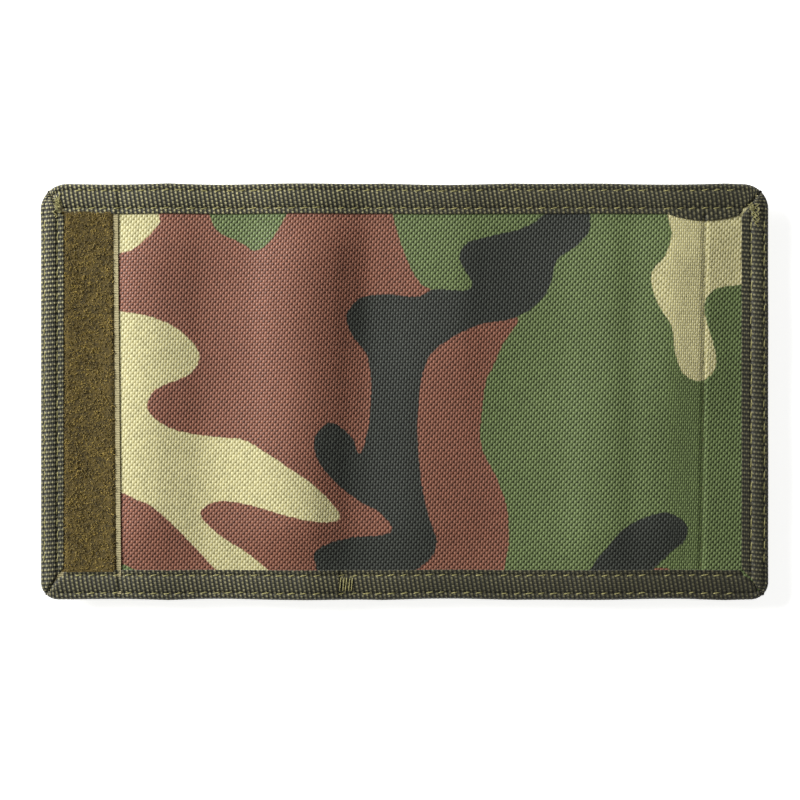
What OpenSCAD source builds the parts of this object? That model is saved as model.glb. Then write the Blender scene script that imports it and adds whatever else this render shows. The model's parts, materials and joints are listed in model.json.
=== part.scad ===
// Trifold wallet, opened out flat with its outer face up, in millimetres.
// X runs from the loop tape's end to the closing flap, Y to the pocket mouths, Z out of the outer face.
// The origin is on the table under the middle of the open wallet.
// Three panels hang on two folds. Each fold is a narrow spine between two crease lines, so that the
// folded wallet keeps the length of its fabric. Every sheet is flat and its pockets are empty.

/* [Wallet] */
// Width of the wallet when it is open
wallet_w = 227; // [224:0.5:230]
// Height of the wallet
wallet_h = 130; // [128:1:134]
// Radius of the outer corners
corner_r = 6; // [4:0.5:7]
// Width of the cover, from its free edge to the middle of its fold
cover_w = 91.5; // [91:0.1:92]
// Width of the closing flap, from its free edge to the middle of its fold
flap_w = 35.5; // [35:0.1:36]

/* [Fabric] */
// Thickness of the printed outer fabric
shell_t = 0.6; // [0.5:0.05:0.7]
// Thickness of the lining
lining_t = 0.3; // [0.2:0.05:0.4]
// Thickness of the inner pocket fabric
sheet_t = 0.45; // [0.35:0.05:0.5]

/* [Edge binding] */
// Thickness of the binding tape
tape_t = 0.4; // [0.3:0.05:0.5]
// Width of the tape that shows along the top and the bottom
binding_long_w = 9.4; // [8.6:0.1:9.6]
// Width of the tape that shows along the loop tape's end
binding_left_w = 7.4; // [7:0.1:8]
// Width of the tape that shows along the flap's end
binding_right_w = 8.4; // [8:0.1:9]

/* [Loop and hook tapes] */
// Full width of each tape
fastener_w = 20; // [19:0.5:20.5]
// Thickness of each tape's woven ground
fastener_base_t = 0.4; // [0.3:0.05:0.45]
// Height of the pile and of the hooks
fastener_pile_t = 1; // [0.8:0.05:1]
// Width of the bare selvedge beside the pile and beside the hooks
selvedge_w = 1.4; // [1:0.1:2]

/* [Pockets] */
// Free height of the note pocket
note_gap = 1; // [0.9:0.05:1.2]
// Distance of the note pocket's mouth from the wallet's top edge
note_mouth_drop = 12.1; // [11.5:0.1:13]
// Free height of each card pocket, for a card 0.76 thick
card_gap = 1; // [0.98:0.01:1.05]
// How far each card pocket stands below the one behind it
card_step = 12; // [10:0.5:13]
// Height of the front card pocket
card_front_h = 45.2; // [42:0.2:46]
// Free height of the coin pocket
coin_gap = 1; // [0.95:0.01:1.05]
// Clear width of the card window
window_w = 56; // [55:0.5:60]
// Height of the card window
window_h = 85; // [80:0.5:86]

/* [Zip] */
// Distance of the zip's centreline from the wallet's top edge
zip_drop = 25.5; // [25.5:0.1:26]
// Width of each half of the zip, tape and teeth
zip_half_w = 6; // [5.6:0.1:6]
// Length of the zip's tapes
zip_l = 70; // [66:0.5:70]
// Length of the slider
slider_l = 7.5; // [7:0.25:8]
// Length of the pull, from its pin
pull_l = 11; // [9:0.5:11]

/* [Hidden] */
$fn = 48;
hair = 0.01; // overlap of a cutting shape past the face it cuts
fit = 0.3; // free space between parts of different bodies

// Edges of the open wallet.
left_x = -wallet_w / 2;
right_x = wallet_w / 2;
top_y = wallet_h / 2;
bottom_y = -wallet_h / 2;
top_in_y = top_y - binding_long_w;
bottom_in_y = bottom_y + binding_long_w;
left_in_x = left_x + binding_left_w;
right_in_x = right_x - binding_right_w;

// Heights above the fold plane, which is the underside of everything that bends.
note_lo = tape_t;
note_hi = note_lo + sheet_t;
lining_lo = note_hi + note_gap;
lining_hi = lining_lo + lining_t;
shell_hi = lining_hi + shell_t;
loop_base_hi = shell_hi + fastener_base_t;
loop_hi = loop_base_hi + fastener_pile_t;
hook_base_lo = lining_lo - fastener_base_t;
hook_lo = hook_base_lo - fastener_pile_t;

// Depths below the fold plane, as heights that are negative.
function card_hi(i) = note_lo - i * card_gap - (i - 1) * sheet_t;
card_lo = card_hi(3) - sheet_t;
hem_t = 0.2;
coin_hi = note_lo - coin_gap;
coin_lo = coin_hi - sheet_t;
window_t = 0.3;
window_gap = 0.9;
window_lo = coin_lo - window_gap - window_t;
window_border_lo = window_lo - hem_t;

// The zip, whose slider grips the teeth between two plates.
zip_y = top_y - zip_drop;
teeth_t = 1;
teeth_w = 1.7;
teeth_slot = 0.6;
teeth_lo = coin_lo - teeth_t;
plate_gap = 0.1;
plate_t = 0.4;
front_plate_hi = teeth_lo - plate_gap;
front_plate_lo = front_plate_hi - plate_t;
pin_r = 0.35;
pin_z = front_plate_lo - plate_gap - pin_r;
bail_t = 0.4;
bail_in_lo = pin_z - pin_r - plate_gap;
bail_lo = bail_in_lo - bail_t;
zip_x0 = left_in_x + 2.6;
zip_x1 = zip_x0 + zip_l;
slider_x = zip_x0 + slider_l / 2 + fit;

// The fold plane stands above the table by the deepest part under it.
fold_z = -min(card_lo, bail_lo);

// Spine widths: the closed cover has to clear the card pockets, and the closed flap the cover's pile.
cover_spine_w = -card_lo - window_border_lo + fit;
flap_spine_w = cover_spine_w + loop_hi + fit - hook_lo;
cover_fold_x = left_x + cover_w;
flap_fold_x = right_x - flap_w;
crease_gap = 0.2;
crease_x = [
    cover_fold_x - cover_spine_w / 2,
    cover_fold_x + cover_spine_w / 2,
    flap_fold_x - flap_spine_w / 2,
    flap_fold_x + flap_spine_w / 2
];
COVER = [left_x, crease_x[0] - crease_gap / 2];
COVER_SPINE = [crease_x[0] + crease_gap / 2, crease_x[1] - crease_gap / 2];
BACK = [crease_x[1] + crease_gap / 2, crease_x[2] - crease_gap / 2];
FLAP_SPINE = [crease_x[2] + crease_gap / 2, crease_x[3] - crease_gap / 2];
FLAP = [crease_x[3] + crease_gap / 2, right_x];

// Loop tape on the cover and hook tape on the flap.
loop_x1 = left_in_x - 3.2 + fastener_w;
hook_x0 = right_x - 1.2 - fastener_w;

// Note pocket's mouth.
note_mouth_y = top_y - note_mouth_drop;
note_binding_h = 6.4;

// Card pockets on the back panel.
border_w = 2.1;
card_x = [BACK[0] + fit, BACK[1] - fit];
pocket_bottom_y = bottom_in_y + fit;
card_bottom_y = pocket_bottom_y + border_w;
hem_h = 3;

// Coin pocket and card window on the cover.
coin_x = [left_in_x + fit + 0.1, COVER[1] - fit];
coin_top_y = note_mouth_y - note_binding_h - fit;
window_mid_x = (coin_x[0] + coin_x[1]) / 2;
window_border_w = 3;
window_x = [
    window_mid_x - window_w / 2 - window_border_w,
    window_mid_x + window_w / 2 + window_border_w
];

FABRIC = "DarkOliveGreen";
PRINT = "OliveDrab";
INNER = "DarkSlateGray";
WEBBING = "DimGray";

// A box from its limits on each axis, with heights measured from the fold plane.
module block(x, y, z) {
    translate([x[0], y[0], fold_z + z[0]]) cube([x[1] - x[0], y[1] - y[0], z[1] - z[0]]);
}

// A slab in the wallet's outline, moved in by inset, between two heights from the fold plane.
module outline(inset, z) {
    w = wallet_w - 2 * inset;
    h = wallet_h - 2 * inset;
    r = corner_r - inset;
    translate([0, 0, fold_z + z[0]])
        linear_extrude(height = z[1] - z[0]) {
            square([w - 2 * r, h], center = true);
            square([w, h - 2 * r], center = true);
            for (sx = [-1, 1], sy = [-1, 1]) translate([sx * (w / 2 - r), sy * (h / 2 - r)]) circle(r);
        }
}

// A sheet inside the edge tapes, between limits on X and Y.
module inner_sheet(x, y, z)
    intersection() {
        outline(tape_t, z);
        block(x, y, [z[0] - 1, z[1] + 1]);
    }

// The outside of an edge tape round the layers in grip, between limits on X and Y.
module tape_outside(x, y, grip)
    intersection() {
        outline(0, [grip[0] - tape_t, grip[1] + tape_t]);
        block(x, y, [grip[0] - 1, grip[1] + 1]);
    }

module shell(span) color(PRINT) inner_sheet(span, [bottom_y, top_y], [lining_hi, shell_hi]);

module lining(span) color(INNER) inner_sheet(span, [bottom_y, top_y], [lining_lo, lining_hi]);

// The note panel stops at the hook tape, where it turns up and is sewn to the lining.
module note_panel(span) color(INNER) {
    y = [bottom_y, note_mouth_y - tape_t];
    x = [span[0], min(span[1], hook_x0)];
    inner_sheet(x, y, [note_lo, note_hi]);
    if (span[1] == right_x)
        block([x[1] - sheet_t, x[1]], [bottom_y + tape_t, y[1]], [note_hi - hair, lining_lo]);
}

// Tape folded over the note pocket's mouth.
module note_binding(span) color(FABRIC) {
    x = [max(span[0], left_in_x), min(span[1], hook_x0 - sheet_t)];
    mouth = [note_mouth_y - note_binding_h, note_mouth_y];
    gripped = [mouth[0] - hair, mouth[1] - tape_t];
    difference() {
        block(x, mouth, [0, note_hi + tape_t]);
        block([x[0] - hair, x[1] + hair], gripped, [note_lo, note_hi]);
    }
}

// The tapes climb over the loop tape's ground, and on the flap they grip the hook tape's ground.
module long_binding(span, y, inside_lo) color(FABRIC) {
    first = span[0] == left_x;
    last = span[1] == right_x;
    plain = [first ? loop_x1 : span[0], last ? hook_x0 : span[1]];
    all_y = [bottom_y, top_y];
    difference() {
        union() {
            tape_outside(plain, y, [inside_lo, shell_hi]);
            if (first) tape_outside([left_x, loop_x1 + tape_t], y, [inside_lo, loop_base_hi]);
            if (last) tape_outside([hook_x0 - tape_t, right_x], y, [hook_base_lo, shell_hi]);
        }
        inner_sheet([left_x, last ? hook_x0 : right_x], all_y, [inside_lo, shell_hi]);
        if (first) inner_sheet([left_x, loop_x1], all_y, [inside_lo, loop_base_hi]);
        if (last) inner_sheet([hook_x0, right_x], all_y, [hook_base_lo, shell_hi]);
    }
}

// The bottom tape grips the note panel as well as the lining.
module top_binding(span) long_binding(span, [top_in_y, top_y], lining_lo);
module bottom_binding(span) long_binding(span, [bottom_y, bottom_in_y], note_lo);

// Tape round one short end, between the long bindings.
module end_binding(x, grip) color(FABRIC)
    difference() {
        tape_outside(x, [bottom_in_y, top_in_y], grip);
        outline(tape_t, grip);
    }

module left_binding() end_binding([left_x, left_in_x], [note_lo, loop_base_hi]);
module right_binding() end_binding([right_in_x, right_x], [hook_base_lo, shell_hi]);

// Soft half of the fastener, sewn on the cover's outer face.
module loop_tape() color("Olive") {
    inner_sheet([loop_x1 - fastener_w, loop_x1], [bottom_y, top_y], [shell_hi, loop_base_hi]);
    block(
        [left_in_x + fit, loop_x1 - selvedge_w], [bottom_in_y + fit, top_in_y - fit],
        [loop_base_hi - hair, loop_hi]
    );
}

// Hooked half of the fastener, sewn inside the flap.
module hook_tape() color("Olive") {
    inner_sheet([hook_x0, hook_x0 + fastener_w], [bottom_y, top_y], [hook_base_lo, lining_lo]);
    block(
        [hook_x0 + selvedge_w, right_in_x - fit], [bottom_in_y + fit, top_in_y - fit],
        [hook_lo, hook_base_lo + hair]
    );
}

// Card pockets: 1 is the rear one, 3 the front one.
function card_mouth_y(i) = card_bottom_y + card_front_h + (3 - i) * card_step;
card_clear_x = [card_x[0] + border_w, card_x[1] - border_w];

// A pocket's sheet turns up at its lower end and is sewn to the note panel behind it.
module card_pocket(i) color(INNER) {
    low_y = card_mouth_y(i) - card_front_h;
    block(card_clear_x, [low_y, card_mouth_y(i) - hem_h], [card_hi(i) - sheet_t, card_hi(i)]);
    if (i < 3) block(card_clear_x, [low_y, low_y + sheet_t], [card_hi(i) - hair, note_lo]);
}

module card_hem(i) color(FABRIC)
    block(
        card_clear_x, [card_mouth_y(i) - hem_h, card_mouth_y(i)],
        [card_hi(i) - sheet_t, card_hi(i) + hem_t]
    );

module card_border_side(x) color(FABRIC)
    block(x, [pocket_bottom_y, card_mouth_y(1)], [card_lo, note_lo]);

module card_border_bottom() color(FABRIC)
    block(card_clear_x, [pocket_bottom_y, card_bottom_y], [card_lo, note_lo]);

// Coin pocket: a sheet held off the note panel by a border, with the zip across its mouth.
coin_clear_x = [coin_x[0] + border_w, coin_x[1] - border_w];
zip_low_y = zip_y - zip_half_w;
zip_high_y = zip_y + zip_half_w;

module coin_pocket_front() color(INNER)
    block(coin_clear_x, [card_bottom_y, zip_low_y], [coin_lo, coin_hi]);

module coin_pocket_border() color(FABRIC) {
    side = [pocket_bottom_y, coin_top_y];
    depth = [coin_lo, note_lo];
    block([coin_x[0], coin_clear_x[0]], side, depth);
    block([coin_clear_x[1], coin_x[1]], side, depth);
    block(coin_clear_x, [pocket_bottom_y, card_bottom_y], depth);
    block(coin_clear_x, [zip_high_y, coin_top_y], depth);
}

module zip_tape(side) color(WEBBING) {
    near = zip_y + side * teeth_slot;
    far = zip_y + side * zip_half_w;
    block(coin_clear_x, [min(near, far), max(near, far)], [coin_lo, coin_hi]);
}

module zip_teeth(side) color(WEBBING) {
    near = zip_y + side * teeth_slot / 2;
    far = near + side * teeth_w;
    block([zip_x0, zip_x1], [min(near, far), max(near, far)], [teeth_lo, coin_lo]);
}

// Staples across the rows of teeth at both ends of the zip.
module zip_end_stops() color("Silver") {
    stop_l = 1.6;
    reach = teeth_slot / 2 + teeth_w;
    for (x = [zip_x0 - stop_l, zip_x1])
        block([x, x + stop_l], [zip_y - reach, zip_y + reach], [teeth_lo - plate_gap, coin_lo]);
}

// Slider: a plate on each face of the teeth, a web in the slot between the rows, and a bail.
module zip_slider() color("Silver") {
    half_l = slider_l / 2;
    half_w = 3.1;
    flange_w = 0.6;
    web_w = 0.3;
    bail_half_l = 2.2;
    bail_half_w = 0.7;
    bail_leg = 0.6;
    x = [slider_x - half_l, slider_x + half_l];
    back_plate_hi = coin_hi + plate_gap + plate_t;
    block(x, [zip_y - half_w, zip_y + half_w], [coin_hi + plate_gap, back_plate_hi]);
    block(x, [zip_y - half_w, zip_y + half_w], [front_plate_lo, front_plate_hi]);
    block(
        [slider_x - half_l, slider_x], [zip_y - web_w / 2, zip_y + web_w / 2],
        [front_plate_hi - hair, coin_hi + plate_gap + hair]
    );
    for (side = [-1, 1]) {
        near = zip_y + side * (half_w - flange_w);
        far = zip_y + side * half_w;
        block(x, [min(near, far), max(near, far)], [front_plate_hi - hair, coin_lo - plate_gap]);
    }
    bail_y = [zip_y - bail_half_w, zip_y + bail_half_w];
    difference() {
        block(
            [slider_x - bail_half_l, slider_x + bail_half_l], bail_y,
            [bail_lo, front_plate_lo + hair]
        );
        block(
            [slider_x - bail_half_l + bail_leg, slider_x + bail_half_l - bail_leg],
            [bail_y[0] - hair, bail_y[1] + hair], [bail_in_lo, front_plate_lo]
        );
    }
}

// Pull: its pin turns in the bail, and its window lets the bail's legs through.
module zip_pull() color("Silver") {
    half_w = 2.5;
    window_half_w = 1;
    window_end = 3.1;
    tip_r = half_w;
    z = [pin_z - pin_r, pin_z + pin_r];
    translate([slider_x, zip_y + half_w, fold_z + pin_z]) rotate([90, 0, 0])
        cylinder(r = pin_r, h = 2 * half_w);
    difference() {
        union() {
            block([slider_x, slider_x + pull_l - tip_r], [zip_y - half_w, zip_y + half_w], z);
            translate([slider_x + pull_l - tip_r, zip_y, fold_z + z[0]])
                cylinder(r = tip_r, h = 2 * pin_r);
        }
        block(
            [slider_x - hair, slider_x + window_end],
            [zip_y - window_half_w, zip_y + window_half_w], [z[0] - hair, z[1] + hair]
        );
    }
    translate([slider_x, zip_y + window_half_w + hair, fold_z + pin_z]) rotate([90, 0, 0])
        cylinder(r = pin_r, h = 2 * window_half_w + 2 * hair);
}

// Clear window pocket on the coin pocket's face, open at its top.
window_y = [pocket_bottom_y, pocket_bottom_y + window_h];
window_clear_x = [window_x[0] + window_border_w, window_x[1] - window_border_w];

module window_sheet() color("LightSteelBlue", 0.4)
    block(window_clear_x, [card_bottom_y, window_y[1] - hem_h], [window_lo, window_lo + window_t]);

module window_hem() color(FABRIC)
    block(window_clear_x, [window_y[1] - hem_h, window_y[1]], [window_lo, window_lo + window_t]);

module window_border() color(FABRIC) {
    depth = [window_border_lo, coin_lo];
    block([window_x[0], window_clear_x[0]], window_y, depth);
    block([window_clear_x[1], window_x[1]], window_y, depth);
    block(window_clear_x, [window_y[0], card_bottom_y], depth);
}

shell(COVER);  // shell_cover
shell(COVER_SPINE);  // shell_cover_spine
shell(BACK);  // shell_back
shell(FLAP_SPINE);  // shell_flap_spine
shell(FLAP);  // shell_flap
lining(COVER);  // lining_cover
lining(COVER_SPINE);  // lining_cover_spine
lining(BACK);  // lining_back
lining(FLAP_SPINE);  // lining_flap_spine
lining(FLAP);  // lining_flap
note_panel(COVER);  // note_panel_cover
note_panel(COVER_SPINE);  // note_panel_cover_spine
note_panel(BACK);  // note_panel_back
note_panel(FLAP_SPINE);  // note_panel_flap_spine
note_panel(FLAP);  // note_panel_flap
note_binding(COVER);  // note_binding_cover
note_binding(COVER_SPINE);  // note_binding_cover_spine
note_binding(BACK);  // note_binding_back
note_binding(FLAP_SPINE);  // note_binding_flap_spine
note_binding(FLAP);  // note_binding_flap
top_binding(COVER);  // top_binding_cover
top_binding(COVER_SPINE);  // top_binding_cover_spine
top_binding(BACK);  // top_binding_back
top_binding(FLAP_SPINE);  // top_binding_flap_spine
top_binding(FLAP);  // top_binding_flap
bottom_binding(COVER);  // bottom_binding_cover
bottom_binding(COVER_SPINE);  // bottom_binding_cover_spine
bottom_binding(BACK);  // bottom_binding_back
bottom_binding(FLAP_SPINE);  // bottom_binding_flap_spine
bottom_binding(FLAP);  // bottom_binding_flap
left_binding();
right_binding();
loop_tape();
hook_tape();
card_pocket(1);  // card_pocket_rear
card_pocket(2);  // card_pocket_middle
card_pocket(3);  // card_pocket_front
card_hem(1);  // card_hem_rear
card_hem(2);  // card_hem_middle
card_hem(3);  // card_hem_front
card_border_side([card_x[0], card_clear_x[0]]);  // card_border_left
card_border_side([card_clear_x[1], card_x[1]]);  // card_border_right
card_border_bottom();
coin_pocket_front();
coin_pocket_border();
zip_tape(1);  // zip_tape_upper
zip_tape(-1);  // zip_tape_lower
zip_teeth(1);  // zip_teeth_upper
zip_teeth(-1);  // zip_teeth_lower
zip_end_stops();
zip_slider();
zip_pull();
window_sheet();
window_border();
window_hem();
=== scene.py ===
"""Trifold wallet, lying open with its outer face up.

It is printed cloth, ribbed edge tape, loop pile, hooks, zip, pockets and thread. Lengths are in millimetres
until a mesh is made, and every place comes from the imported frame. X runs from the loop tape's end to the
closing flap, Y to the note pocket's mouth, and Z out of the outer face. Pieces are first worked out flat, as
they are cut, and Drape then gives them the folds and hollows of handled cloth.
"""

import json
import logging
import math
from dataclasses import dataclass
from enum import Enum
from typing import Any, Callable, Optional, Union

import bpy
import numpy as np
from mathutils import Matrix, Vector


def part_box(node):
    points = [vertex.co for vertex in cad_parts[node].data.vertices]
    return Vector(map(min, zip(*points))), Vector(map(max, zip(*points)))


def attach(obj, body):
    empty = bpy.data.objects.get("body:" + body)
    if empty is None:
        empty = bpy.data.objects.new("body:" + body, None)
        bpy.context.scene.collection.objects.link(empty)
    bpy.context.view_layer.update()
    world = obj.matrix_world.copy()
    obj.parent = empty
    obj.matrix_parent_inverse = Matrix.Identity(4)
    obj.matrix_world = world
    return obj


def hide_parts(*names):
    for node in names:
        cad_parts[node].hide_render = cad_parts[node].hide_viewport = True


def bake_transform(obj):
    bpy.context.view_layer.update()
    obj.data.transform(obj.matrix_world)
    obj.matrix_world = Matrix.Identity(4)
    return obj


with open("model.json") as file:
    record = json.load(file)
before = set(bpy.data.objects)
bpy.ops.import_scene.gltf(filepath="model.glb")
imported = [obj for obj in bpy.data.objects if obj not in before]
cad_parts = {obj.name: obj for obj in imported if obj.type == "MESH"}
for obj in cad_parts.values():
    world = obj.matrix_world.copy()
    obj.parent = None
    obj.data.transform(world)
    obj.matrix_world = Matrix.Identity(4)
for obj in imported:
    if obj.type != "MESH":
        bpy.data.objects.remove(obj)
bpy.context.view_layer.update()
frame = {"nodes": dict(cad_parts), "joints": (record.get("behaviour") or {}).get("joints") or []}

MM = 0.001
CLOTH = "cloth_mm"  # the attribute that holds a point's place on its flat cloth
CAMO = "camo_mm"  # the attribute that holds the distances to the edges of the dyes
SMALLEST_SHEET = 10.0  # strips narrower than this, in millimetres, skip the metres() call
UP = np.array([0.0, 0.0, 1.0])
Array = np.ndarray
Piece = bpy.types.Object
Socket = bpy.types.NodeSocket
Colour = tuple[float, float, float]
Outline = tuple[tuple[float, float], ...]
log = logging.getLogger("wallet")


# ---- sizes


def smooth(x: Array, low: float, high: float) -> Array:
    """Rises from 0 at low to 1 at high as 3t^2 - 2t^3.

    Args:
        x: Where to evaluate it.
        low: Where the rise starts.
        high: Where it ends.

    Returns:
        The rise at each x.
    """
    t = np.clip((x - low) / (high - low), 0, 1)
    return t * t * (3 - 2 * t)


def bell(x: Array, middle: float, width: float) -> Array:
    """A bell curve of height 1, exp(-((x - middle) / width)^2)."""
    return np.exp(-(((x - middle) / width) ** 2))


def flowing(x: Array, places: Array, values: Array) -> Array:
    """A smooth curve through values: cubic Hermite pieces whose slopes are the neighbours' mean slopes.

    Args:
        x: Where to read it.
        places: The stations, rising.
        values: Its values there.

    Returns:
        The curve's value at each x.
    """
    slopes = np.gradient(values, places)
    k = np.clip(np.searchsorted(places, x) - 1, 0, len(places) - 2)
    run = places[k + 1] - places[k]
    t = np.clip((x - places[k]) / run, 0, 1)
    start = values[k] * (1 + 2 * t) * (1 - t) ** 2 + slopes[k] * run * t * (1 - t) ** 2
    return start + values[k + 1] * t * t * (3 - 2 * t) + slopes[k + 1] * run * t * t * (t - 1)


def stations(low: float, high: float, step: float) -> Array:
    """Evenly spaced places from low to high, no more than step apart."""
    return np.linspace(low, high, max(2, int(math.ceil((high - low) / step)) + 1))


def node_mm(name: str) -> tuple[Array, Array]:
    """The lowest and highest corners of a CAD node, in millimetres."""
    low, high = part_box(name)
    return np.array(low) / MM, np.array(high) / MM


def metres(width: float, length: float) -> tuple[float, float]:
    """A sheet's two sides, from millimetres to metres."""
    return width * MM, length * MM


@dataclass(frozen=True)
class Layout:
    """The wallet's main lines, in millimetres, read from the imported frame.

    Each name ending in _in is the inner edge of an edge tape, and each name ending in _z is a height.
    """

    left: float
    right: float
    bottom: float
    top: float
    left_in: float
    right_in: float
    bottom_in: float
    top_in: float
    fold_z: float
    note_hi_z: float
    lining_lo_z: float
    shell_hi_z: float
    tape: float
    creases: tuple[float, float, float, float]

    @classmethod
    def from_frame(cls) -> "Layout":
        """Reads the lines from the CAD nodes and the fold joints."""
        top_low, top_high = node_mm("top_binding_back")
        bottom_low, bottom_high = node_mm("bottom_binding_back")
        left_low, left_high = node_mm("left_binding")
        right_low, right_high = node_mm("right_binding")
        at = {j["name"]: j["pos_m"][0] / MM for j in frame["joints"] if "pos_m" in j}
        shell_hi = node_mm("shell_back")[1][2]
        return cls(
            left=left_low[0],
            right=right_high[0],
            bottom=bottom_low[1],
            top=top_high[1],
            left_in=left_high[0],
            right_in=right_low[0],
            bottom_in=bottom_high[1],
            top_in=top_low[1],
            fold_z=bottom_low[2],
            note_hi_z=node_mm("note_panel_back")[1][2],
            lining_lo_z=node_mm("lining_back")[0][2],
            shell_hi_z=shell_hi,
            tape=top_high[2] - shell_hi,
            creases=(at["cover_fold_outer"], at["cover_fold"], at["flap_fold"], at["flap_fold_outer"]),
        )


@dataclass(frozen=True)
class Span:
    """A stretch of cloth along X that crosses one crease, between two bodies."""

    name: str
    x0: float
    x1: float
    body_a: str
    body_b: str
    crease: float
    reach: float
    places: tuple[str, ...]

    def nodes(self, layer: str) -> list[str]:
        """The CAD nodes of a layer that the span's piece stands for."""
        return [f"{layer}_{place}" for place in self.places]

    def hang(self, piece: Piece) -> None:
        """Bakes the piece's transform into its mesh; it is attached to neither body_a nor body_b."""
        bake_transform(piece)


def spans(layout: Layout) -> tuple[Span, ...]:
    """Cuts the open wallet in the middle of each stiff stretch, so that each length crosses one crease."""
    a, b, c, d = layout.creases
    cover_cut, back_cut, flap_cut = (a + b) / 2, (b + c) / 2, (c + d) / 2
    cover_reach = (b - a) / 2 - 0.1
    flap_reach = (d - c) / 2 - 0.6
    return (
        Span("cover", layout.left, cover_cut, "cover", "cover_spine", a, cover_reach, ("cover",)),
        Span("middle", cover_cut, back_cut, "cover_spine", "back", b, cover_reach, ("cover_spine", "back")),
        Span("back", back_cut, flap_cut, "back", "flap_spine", c, flap_reach, ("flap_spine",)),
        Span("flap", flap_cut, layout.right, "flap_spine", "flap", d, flap_reach, ("flap",)),
    )


@dataclass(frozen=True)
class Drape:
    """How handled cloth departs from its flat cut: crests and hollows, round corners and uneven edges.

    profile gives the cloth's lift as (x, lift on the upper half, lift on the lower half). The seam is a line
    sewn through all layers.
    """

    layout: Layout
    profile: tuple[tuple[float, float, float], ...] = (
        (-113, 0, 0), (-91, 0, 0), (-84, 1.5, 1.2), (-77, 2.0, 1.5), (-70, 1.5, 0.95), (-63, 0.7, 0.4),
        (-56, 0.65, 0.8), (-48, 1.3, 1.9), (-41, 2.7, 3.1), (-34, 3.5, 3.9), (-28, 3.4, 3.7), (-22, 2.5, 2.4),
        (-17, 1.1, 1.2), (-12, -0.1, 0.8), (-6, -0.2, 0.9), (2, 0.2, 1.2), (10, 0.7, 0.9), (18, 1.0, 0.3),
        (26, 0.3, -0.3), (33, -0.2, -0.5), (41, -0.4, -0.3), (49, -0.2, 0.3), (57, 0.6, 1.5), (65, 1.4, 2.0),
        (71, 1.4, 1.7), (77, 2.0, 1.9), (83, 2.4, 1.8), (90, 1.8, 1.2), (97, 0.9, 0.6), (105, 0, 0),
        (113, 0, 0),
    )
    seam_top: float = 93.7
    seam_bottom: float = 92.4
    seam_depth: float = 0.45
    seam_width: float = 0.55
    corner_top_left: float = 8.5
    corner_top_right: float = 7.8
    corner_bottom_left: float = 5.5
    corner_bottom_right: float = 5.5
    edge_share: float = 0.35

    def seam_x(self, y: Array) -> Array:
        """Where the flap's seam crosses each y: a straight line, a little askew."""
        lay = self.layout
        return self.seam_bottom + (self.seam_top - self.seam_bottom) * (y - lay.bottom) / (lay.top - lay.bottom)

    def height(self, x: Array, y: Array) -> Array:
        """How far the outer cloth stands off its flat level.

        Along X it flows through the profile's lifts, and halfway up it passes from the lower half's profile
        to the upper half's. It fades to edge_share of itself at the long edges, slow sines add the cloth's
        own unevenness, and the flap's seam presses a narrow groove.

        Args:
            x: Places along the wallet.
            y: Places across it.

        Returns:
            The lift at each place, in millimetres.
        """
        lay = self.layout
        places, *lifts = np.array(self.profile).T
        upper, lower = (flowing(x, places, lift) for lift in lifts)
        total = lower + (upper - lower) * smooth(y, -0.7 * lay.top_in, 0.7 * lay.top_in)
        fade = 1 - (1 - self.edge_share) * smooth(np.abs(y), 0.72 * lay.top_in, 1.05 * lay.top_in)
        slow = 0.1 * np.sin(x / 6.1 + y / 17) * np.sin(y / 11 + 0.4) + 0.08 * np.sin(y / 7.3 - x / 13 + 1.3)
        calm = smooth(x, lay.left + 24, lay.left + 34)
        groove = self.seam_depth * bell(x, self.seam_x(y), self.seam_width) * (np.abs(y) < lay.top_in)
        return (total + slow * calm) * fade - groove

    def rounded(self, p: Array) -> Array:
        """Rounds the outline's corners.

        Within a radius r of both edges, a point at (p, q) from the circle's centre moves to (p, q) times
        max(p, q) / hypot(p, q), which carries the square corner on to the quarter disc.

        Args:
            p: Points, with X and Y first.

        Returns:
            The points, moved.
        """
        lay = self.layout
        out = p.copy()
        corners = (
            (lay.left, lay.top, 1, -1, self.corner_top_left),
            (lay.right, lay.top, -1, -1, self.corner_top_right),
            (lay.left, lay.bottom, 1, 1, self.corner_bottom_left),
            (lay.right, lay.bottom, -1, 1, self.corner_bottom_right),
        )
        for x0, y0, sx, sy, r in corners:
            a = r - (out[..., 0] - x0) * sx
            b = r - (out[..., 1] - y0) * sy
            inside = (a > 0) & (b > 0)
            share = np.where(inside, np.maximum(a, b) / np.maximum(np.hypot(a, b), 1e-9), 1.0)
            out[..., 0] = np.where(inside, x0 + sx * (r - a * share), out[..., 0])
            out[..., 1] = np.where(inside, y0 + sy * (r - b * share), out[..., 1])
        return out

    def __call__(self, points: Array) -> Array:
        """Drapes flat points: layers above the note pocket follow height(), and the ones below stay flat.

        Args:
            points: Flat points, of shape (..., 3).

        Returns:
            The draped points, of the same shape.
        """
        lay = self.layout
        p = self.rounded(points)
        x, y, z = p[..., 0], p[..., 1], p[..., 2]
        share = smooth(z, lay.note_hi_z, lay.lining_lo_z)
        edge = (y / lay.top) ** 6
        wander = 0.3 * np.sin(x / 19 + 0.8) + 0.16 * np.sin(x / 7.7)
        out = p.copy()
        out[..., 1] = y - np.abs(wander) * edge * np.sign(y)
        out[..., 2] = z + self.height(x, y) * share
        return out


# ---- meshes


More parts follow.
